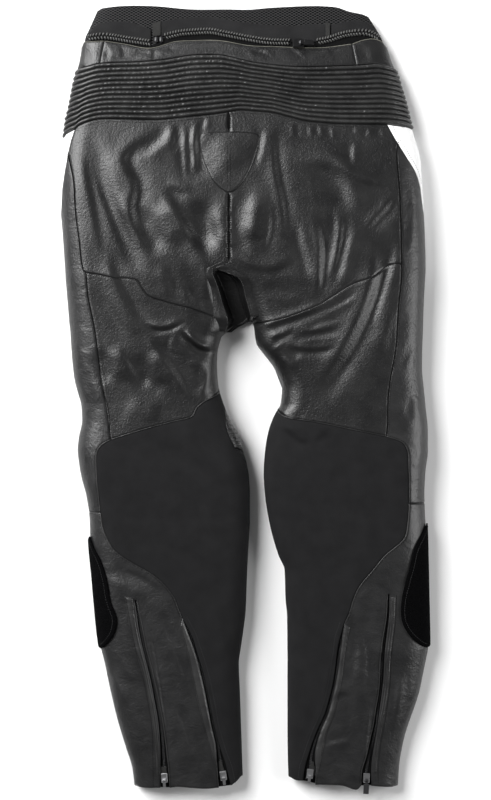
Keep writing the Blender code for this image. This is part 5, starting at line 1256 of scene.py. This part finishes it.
def grains(at, along, across, out, long, wide, tall, sides=5):
    """Small rounded grains, one at each place: the vertices and faces of all of them."""
    n = len(at)
    turns = np.arange(sides) * 2 * math.pi / sides
    ring = [(x, wide * math.cos(a), tall * math.sin(a)) for x in (-0.62, 0.62) for a in turns]
    shape = np.array([(-1, 0, 0)] + ring + [(1, 0, 0)])
    shape[:, 0] *= long / 2
    verts = (at[:, None] + shape[None, :, :1] * along[:, None] + shape[None, :, 1:2] * across[:, None]
             + shape[None, :, 2:] * out[:, None]).reshape(-1, 3)
    one = [(0, 1 + (i + 1) % sides, 1 + i) for i in range(sides)]
    one += [(1 + i, 1 + (i + 1) % sides, 1 + sides + (i + 1) % sides, 1 + sides + i) for i in range(sides)]
    one += [(1 + 2 * sides, 1 + sides + i, 1 + sides + (i + 1) % sides) for i in range(sides)]
    k = len(shape)
    return verts, [tuple(j * k + i for i in f) for j in range(n) for f in one]


class Trim:
    """Many small things of one material, gathered into one piece."""

    def __init__(self, name, material, slot):
        self.name, self.material, self.slot = name, material, slot
        self.verts, self.faces, self.count = [], [], 0

    def add(self, verts, faces):
        self.verts.append(np.asarray(verts, float))
        self.faces += [tuple(int(i) + self.count for i in f) for f in faces]
        self.count += len(verts)

    def stitches(self, chart, points, offset, pitch=3.0, long=2.1, wide=0.3, lift=0.12, start=1.5, stop=1.5):
        flat = course_of(chart, points, offset, pitch / 1000, start, stop)
        if len(flat) < 3:
            return
        at, along, across, out = frames(chart, flat, -lift / 1000)
        self.add(*grains(at, along, across, out, long / 1000, wide / 1000, wide * 0.7 / 1000))

    def cord(self, chart, points, offset, radius, lift, start=0.0, stop=0.0, flat_share=1.0, gap=0.0016):
        """A rounded line along a seam, such as piping or a turned edge."""
        flat = course_of(chart, points, offset, gap, start, stop)
        at, _, across, out = frames(chart, flat, -lift / 1000)
        self.round_line(at, across, out, radius / 1000, flat_share)

    def tube(self, at, radius):
        """A rounded line through points in space."""
        along = np.gradient(at, axis=0)
        across = np.cross(along, (0, 0, 1))
        across /= np.linalg.norm(across, axis=1, keepdims=True)
        self.round_line(at, across, np.tile((0, 0, 1.0), (len(at), 1)), radius, 1.0)

    def round_line(self, at, across, out, radius, flat_share):
        n, sides = len(at), 6
        r = np.full(n, radius)
        r[0] = r[-1] = radius / 3
        turns = np.arange(sides) * 2 * math.pi / sides
        ring = (at[:, None] + np.cos(turns)[None, :, None] * r[:, None, None] * across[:, None]
                + np.sin(turns)[None, :, None] * r[:, None, None] * flat_share * out[:, None])
        one = [(i, (i + 1) % sides, sides + (i + 1) % sides, sides + i) for i in range(sides)]
        faces = [tuple(j * sides + i for i in face) for j in range(n - 1) for face in one]
        faces += [tuple(range(sides))[::-1], tuple((n - 1) * sides + i for i in range(sides))]
        self.add(ring.reshape(-1, 3), faces)

    def made(self):
        mesh_object(self.name, np.vstack(self.verts), self.faces, self.material)


def teeth_row(trim, chart, points, offset, pitch, wide, tall, deep, depth, shift=0.0, lean=0.0):
    """One row of moulded zip teeth that stand across the zip, leaning by a few degrees."""
    flat = course_of(chart, points, offset, pitch / 1000, 1.0 + shift, 1.0)
    at, along, across, out = frames(chart, flat, depth / 1000)
    c, s = math.cos(math.radians(lean)), math.sin(math.radians(lean))
    along, across = c * along + s * across, c * across - s * along
    trim.add(*grains(at, across, along, out, wide / 1000, tall / 1000 / 2, deep / 1000, 6))


def strip(name, chart, one, two):
    """A narrow stitched strip of leather between two lines that run down the leg, raised a little."""
    line = [finely(one), finely([one[-1], two[-1]]), back(finely(two)), finely([two[0], one[0]])]
    panel(name, chart, line, "leather_black", depth=-0.0014, edge=(1.1, 1.4, 0.0, 3.0), gap=0.0002)


def leg_trims(side):
    left = side == "L"
    chart = Chart("outer", side)
    word = "left" if left else "right"
    way = 1 if left else -1  # towards the middle of the layout
    thread = Trim(f"stitching_{word}", THREAD_AND_SEAM_SHADE, "leather_black")
    pale = Trim(f"stitching_on_cloth_{word}", PALE_THREAD, "stretch_fabric")
    # The turned edges take the lightened strip leather: painted sheen along them.
    edges = Trim(f"turned_edges_{word}", WELT_PAINTED_SHEEN, "leather_black")
    high, low = (SIDE_LEFT_HIGH, SIDE_LEFT_LOW) if left else (SIDE_RIGHT_HIGH, SIDE_RIGHT_LOW)
    whole = list(high) + list(low[1:])
    # A dark cord in the side seam: painted shade of the seam's groove.
    thread.cord(chart, whole, -0.3 * way, radius=0.55, lift=0.05)
    thread.stitches(chart, whole, -2.3 * way)
    yoke = YOKE_LEFT if left else back(YOKE_RIGHT)
    thread.stitches(chart, yoke, -1.5, wide=0.26)
    for line in ((STRETCH_TOP_LEFT, STRETCH_SIDE_LEFT, STRETCH_CALF_LEFT) if left
                 else (STRETCH_TOP_RIGHT, STRETCH_SIDE_RIGHT, STRETCH_CALF_RIGHT)):
        edges.cord(chart, line, -0.5 * way, radius=0.5, lift=0.2)
        thread.stitches(chart, line, -2.2 * way)
    cross = CROSS_LEFT if left else back(CROSS_RIGHT)
    for offset in (1.4, -1.6):
        thread.stitches(chart, cross, offset)
    accordion_low = ACCORDION_BOTTOM_LEFT if left else ACCORDION_BOTTOM_RIGHT
    thread.stitches(chart, accordion_low, -3.6)
    ankle_calf = ANKLE_LEFT_CALF if left else ANKLE_RIGHT_CALF
    ankle_stretch = ANKLE_LEFT_STRETCH if left else ANKLE_RIGHT_STRETCH
    thread.stitches(chart, ankle_calf, -2.0 * way)
    edges.cord(chart, ankle_calf, -0.4 * way, radius=0.5, lift=0.15)
    pale.stitches(chart, ankle_stretch, 6.0 * way, wide=0.2)
    calf_out = CALF_LEFT_OUT if left else CALF_RIGHT_OUT
    calf_in = CALF_LEFT_IN if left else CALF_RIGHT_IN
    thread.stitches(chart, calf_in, 2.0 * way)
    edges.cord(chart, calf_in, 0.4 * way, radius=0.5, lift=0.1)
    thread.stitches(chart, calf_out, -9.0 * way)
    white = (WHITE_LEFT + WHITE_LEFT_LOW[1:]) if left else (WHITE_RIGHT + WHITE_RIGHT_LOW[1:])
    thread.stitches(chart, white, -5.0 * way, wide=0.24)
    patch = PATCH_LEFT if left else PATCH_RIGHT
    pale.stitches(chart, patch, -4.5 * way, lift=3.2, wide=0.22)
    pale.made()
    welt = WELT_LEFT if left else WELT_RIGHT
    strip(f"calf_welt_{word}", chart, welt[:7], back(welt[7:]))
    thread.stitches(chart, welt[:7], 1.4 * way, lift=1.5)
    thread.stitches(chart, back(welt[7:]), -1.2 * way, lift=1.5)
    ankle_line = ANKLE_STITCH_LEFT if left else ANKLE_STITCH_RIGHT
    strip(f"ankle_welt_{word}", chart, ankle_line, ankle_calf)
    thread.stitches(chart, ankle_line, 1.3 * way, lift=1.2)
    for place_name, corners in TABS_LEFT if left else TABS_RIGHT:
        panel(f"{place_name}_tab_{word}", chart, cut_round(corners), "zip_tape", thick=TAPE, depth=TAB_DEPTH,
              look=TAB_CLOTH)
    if left:
        for down in range(416, 448, 4):
            x = float(np.interp(down, [k[1] for k in KNEE_LEFT], [k[0] for k in KNEE_LEFT])) + 0.8
            short = ((x, down), (x + 3.0, down + 0.4), ("inner", down + 1.2))
            edges.cord(chart, short, 0, radius=0.9, lift=-0.2, gap=0.0012)
    thread.made()
    edges.made()
    # Zip teeth in the two slits
    teeth = Trim(f"leg_zip_teeth_{word}", TEETH, "pull_plastic")
    for one, two in ((calf_out, calf_in), (ankle_calf, ankle_stretch)):
        middle = [((a[0] + b[0]) / 2, (a[1] + b[1]) / 2) for a, b in zip(one, two)]
        for k in (-1, 1):
            teeth_row(teeth, chart, middle, 0.75 * k, pitch=2.2, wide=2.2, tall=1.2, deep=0.55, depth=3.1,
                      shift=0.0 if k > 0 else 1.1)
    teeth.made()


COURSES = [
    (min(slope * FOLD_GAIN, RISE_LIMIT), half * (WIDER_RISE if slope > 0 else WIDER_FALL), curved(course))
    for slope, half, course in SLOPES
]
for slope, half, x, y, long, turn in CRINKLES:
    dx, dy = long * math.cos(math.radians(turn)), long * math.sin(math.radians(turn))
    COURSES.append((slope, half, [(x - dx, y - dy), (x, y), (x + dx, y + dy)]))
BACK, FRONT_CHART = Chart("back"), Chart("front")
for half in ("L", "R"):
    leg_panels(half)
    leg_trims(half)

# Waist
panel("waist_back", BACK,
      [finely(WAIST_TOP), finely(WAIST_SEAM_RIGHT), back(finely(ACCORDION_TOP)),
       back(finely(WAIST_SEAM_LEFT))],
      "leather_black")
upper = [("rim", "L", 0.006, 71), ("rim", "L", -0.002, 69.5), *ACCORDION_TOP_LEFT[:-1], *ACCORDION_TOP,
         *ACCORDION_TOP_RIGHT[1:], ("rim", "R", -0.002, 69.5), ("rim", "R", 0.006, 71)]
lower_left = [("rim", "L", 0.006, 138.5), ("rim", "L", -0.004, 138.5), ("rim", "L", -0.014, 134.75)]
lower_right = [("rim", "R", -0.0215, 128.05), ("rim", "R", -0.004, 129.5), ("rim", "R", 0.006, 129.5)]
lower = lower_left + list(ACCORDION_BOTTOM_LEFT) + list(ACCORDION_BOTTOM_RIGHT[1:]) + lower_right
panel("tailbone_shield", BACK, [finely(SHIELD_LINE + SHIELD_LINE[:1])], "leather_black", thick=SHIELD,
      depth=-0.0013, edge=(0.9, 0.8, 0.1, 2.2))
panel("fly_flap", FRONT_CHART,
      [under_run(((219, 46), (239, 46))), under_run(((239, 46), (239, 73))),
       under_run(((239, 73), (239, 190))), under_run(((239, 190), (219, 190))),
       back(under_run(((219, 73), (219, 190)))), back(under_run(((219, 46), (219, 73))))],
      "leather_black", under=True)
# The lower waist tape takes the darker tape by its name: painted shade under the leather edge.
for part, line, deep in (("left", TAPE_LEFT, 0.0023), ("middle", TAPE_MIDDLE, 0.0018),
                         ("right", TAPE_RIGHT, 0.0021), ("lower", TAPE_LOWER, 0.0023)):
    panel(f"zip_tape_{part}", BACK, cut_round(line), "zip_tape", thick=TAPE, depth=deep)
mesh_low = ((85, 46), (104, 47.5), (128, 51), (150, 55), (175, 48), (220, 47), (249, 52), (272, 53),
            (320, 53), (352, 50), (370, 45), (384, 46))
panel("mesh_band_back", BACK,
      [finely(MESH_TOP), rim_run("R", ((0, 13.5), (0, 45))), back(finely(mesh_low)),
       rim_run("L", ((0, 45), (0, 8)))],
      "waist_mesh", thick=FABRIC, depth=MESH_DEPTH)
panel("mesh_band_front", FRONT_CHART,
      [rim_run("L", ((0, 9), (0, 40))), under_run(((100, 42), (CENTRE, 43), (360, 42))),
       rim_run("R", ((0, 39.4), (0, 14))),
       under_run(((355, 13), (336, 12), (272, 12), (191, 13), (132, 10), (105, 10)))],
      "waist_mesh", thick=FABRIC, depth=MESH_DEPTH, under=True)
ribbed("accordion_panel", BACK, upper, lower, ACCORDION_RIBS, "leather_black")


middle = Trim("stitching_and_centre_seam_shade", THREAD_AND_SEAM_SHADE, "leather_black")
seam = Trim("centre_seam", SUPPLE, "leather_black")
for line, lift in (([(CENTRE, 115), (CENTRE, 124), (CENTRE, 133)], 0.12),
                   ([(CENTRE, 136), (CENTRE, 165), (CENTRE, 192)], 1.35),
                   ([(CENTRE, 196), (CENTRE, 230), (CENTRE, 262), (228.8, 267)], 0.12)):
    for offset in (1.9, -1.9):
        middle.stitches(BACK, line, offset, lift=lift, wide=0.34)
    # A dark cord in the centre seam: painted shade of its groove.
    if lift < 1:
        middle.cord(BACK, line, 0.3, radius=0.6, lift=-0.1)
shield_round = SHIELD_LINE + SHIELD_LINE[:1]
middle.stitches(BACK, shield_round, -1.8, lift=1.3)
middle.stitches(BACK, WAIST_SEAM_LEFT, -4.5)
middle.stitches(BACK, WAIST_SEAM_RIGHT, 4.5)
middle.stitches(BACK, WAIST_TOP, -3.2)
middle.made()

# Zip round the waist
raw = Trim("raw_leather_edge", RAW, "leather_black")
raw.cord(BACK, WAIST_TOP, 0.15, radius=0.42, lift=-0.35)
for half, top in (("L", WAIST_TOP_LEFT), ("R", WAIST_TOP_RIGHT)):
    raw.cord(Chart("outer", half), top, 0.15, radius=0.42, lift=-0.35)
raw.made()
teeth = Trim("waist_zip_teeth", WAIST_TEETH, "pull_plastic")
ZIP_LINES = (
    ((87.5, 37.6), (104, 36.4), (128, 40), (151, 43.6)),
    ((165, 37.4), (181, 33.6), (194, 32.6), (211, 32), (223, 34.2), (250, 39.4), (270, 42.2), (291, 42.6)),
    ((317, 42.4), (330, 39.4), (344, 34.8), (357, 32.8), (368, 32.8), (380, 37.6)),
)
for line in ZIP_LINES:
    for way, shift in ((1, 0.0), (-1, 1.8)):
        teeth_row(teeth, BACK, line, 2.5 * way, pitch=3.6, wide=4.7, tall=2.1, deep=1.0, depth=0.7,
                  shift=shift, lean=28 * way)
teeth.made()
for name, line in (("left", ((152.5, 24.5), (161, 21.5), (161, 36.2), (153, 37.4))),
                   ("right", ((325.4, 23.8), (330, 23.6), (330, 38.6), (325.6, 39.6)))):
    panel(f"zip_end_tab_{name}", BACK, cut_round(line), "zip_tape", thick=TAPE, depth=0.0008,
          look=TAB_CLOTH)
box = Trim("zip_end_box", TEETH, "pull_plastic")
for x in (156.4, 161.4):
    box.cord(BACK, ((x, 37.4), (x, 41), (x, 44.6)), 0, radius=2.8, lift=-0.9, flat_share=0.4)
box.made()


def height_at(side, across, down):
    """How high the upper side stands at a place in the layout."""
    v = np.full(200, down * STEP)
    top = section(side, v[:1])["top"][0]
    at = place(side, np.linspace(-top, 0, 200), v)
    order = np.argsort(at[:, 0])
    return float(np.interp((across - MIDDLE_ACROSS) * STEP, at[order, 0], at[order, 2]))


def gusset():
    """The leather round and down in the fold at the crotch: two crisp lips and the seam between them."""
    table = np.array(GUSSET_ROWS, float)
    share = (0, 0.5, 1, 1.1, 1.6, 2, 2.35, 2.5, 2.62, 2.9, 3, 3.5, 4)
    n, rows, lip = 61, [], []
    for down in np.linspace(table[0, 0], table[-1, 0], 80):
        out_l, left, seam_at, right, out_r, low = (
            float(np.interp(down, table[:, 0], table[:, i])) for i in range(1, 7)
        )
        high_l, high_r = height_at("L", out_l, down), height_at("R", out_r, down)
        deep = low / 1000
        ends = float(smooth((down - 317) / 3))
        high_r = high_r * (1 - ends) + deep * ends
        rim_l, rim_r = high_l - 0.0006, high_r - 0.0003
        crease = seam_at * 0.45 + right * 0.55
        marks = (
            (out_l, high_l - 0.0003), ((out_l + left) / 2, high_l + 0.0001), (left, rim_l),
            (left + 0.5, rim_l * 0.45 + deep * 0.55), (left * 0.6 + seam_at * 0.4, deep),
            (seam_at, deep + 0.001), (crease - 0.9, deep + 0.0012), (crease, deep + 0.0028),
            (crease + 0.9, deep + 0.0008), (right - 0.6, rim_r * 0.4 + deep * 0.6), (right, rim_r),
            ((right + out_r) / 2, high_r + 0.0001), (out_r, high_r - 0.0003),
        )
        t = np.linspace(0, 4, n)
        x = np.interp(t, share, [m[0] for m in marks])
        z = np.interp(t, share, [m[1] for m in marks])
        closed = float(smooth((271 - down) / 3))
        flat = np.interp(x, (out_l, out_l + 2, out_r - 2, out_r),
                         (high_l - 0.0003, high_l + 0.0001, high_r + 0.0001, high_r - 0.0003))
        flat = flat - 0.0012 * np.exp(-(((x - seam_at) / 1.6) ** 2))
        z = z * (1 - closed) + flat * closed
        y = (MIDDLE_DOWN - down) * STEP
        rows.append(np.stack([(x - MIDDLE_ACROSS) * STEP, np.full(n, y), np.maximum(z, 0.0022)], 1))
        if 274 < down < 318:
            lip.append(((right - MIDDLE_ACROSS) * STEP, y, rim_r + 0.0003))
    seam.tube(np.array(lip), 0.0007)
    verts = np.vstack(rows)
    obj = mesh_object("crotch_gusset_cloth", verts, quads(len(rows), n), SUPPLE)
    if obj.data.polygons[0].normal.z < 0:
        obj.data.flip_normals()
    SHEETS.append((obj, np.array([0.075, 0.095]), None))
    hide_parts("crotch_gusset")


gusset()
seam.made()

for obj, size, area in SHEETS:
    wide, long = (max(float(round(s, 3)), NARROWEST) for s in size)

for name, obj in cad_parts.items():
    if name.startswith(("slider", "pull")):
        look = PULL if name == "pull_calf_right" else GUNMETAL if name.endswith("waist") else STEEL
        for i in range(len(obj.material_slots)):
            obj.material_slots[i].material = look

# Floor, light and camera
bm = bmesh.new()
bmesh.ops.create_grid(bm, x_segments=8, y_segments=8, size=3.0)
mesh = bpy.data.meshes.new("floor")
bm.to_mesh(mesh)
bm.free()
floor = bpy.data.objects.new("floor", mesh)
floor.location.z = -0.0004
bpy.context.scene.collection.objects.link(floor)
paper = Look("floor paper", 0.9)
paper.shader.inputs["Base Color"].default_value = (0.93, 0.93, 0.93, 1)
mesh.materials.append(paper.made)

world = bpy.data.worlds.new("studio")
world.use_nodes = True
world.node_tree.nodes["Background"].inputs["Color"].default_value = (1, 1, 1, 1)
world.node_tree.nodes["Background"].inputs["Strength"].default_value = 0.13
bpy.context.scene.world = world
bpy.context.scene.view_settings.view_transform = "Standard"


def lamp(name, place_at, aim, size, power):
    light = bpy.data.lights.new(name, "AREA")
    light.shape, light.size, light.energy = "DISK", size, power
    obj = bpy.data.objects.new(name, light)
    bpy.context.scene.collection.objects.link(obj)
    obj.location = place_at
    obj.rotation_euler = (Vector(aim) - Vector(place_at)).to_track_quat("-Z", "Y").to_euler()


lamp("key", (-1.85, 1.35, 2.0), (0, -0.1, 0), size=2.0, power=155)
lamp("low", (-1.9, 2.5, 1.2), (0, 0, 0), size=1.5, power=52)
lamp("right", (2.1, -0.1, 1.15), (0, -0.1, 0), size=1.3, power=34)

camera = bpy.data.cameras.new("camera")
camera.sensor_fit = "VERTICAL"
camera.sensor_height = 24
DISTANCE = 2.6
camera.lens = 24 * (DISTANCE - 0.02) / (800 * STEP)
view = bpy.data.objects.new("camera", camera)
bpy.context.scene.collection.objects.link(view)
view.location = ((245.5 - MIDDLE_ACROSS) * STEP, (MIDDLE_DOWN - 400) * STEP, DISTANCE)
bpy.context.scene.camera = view
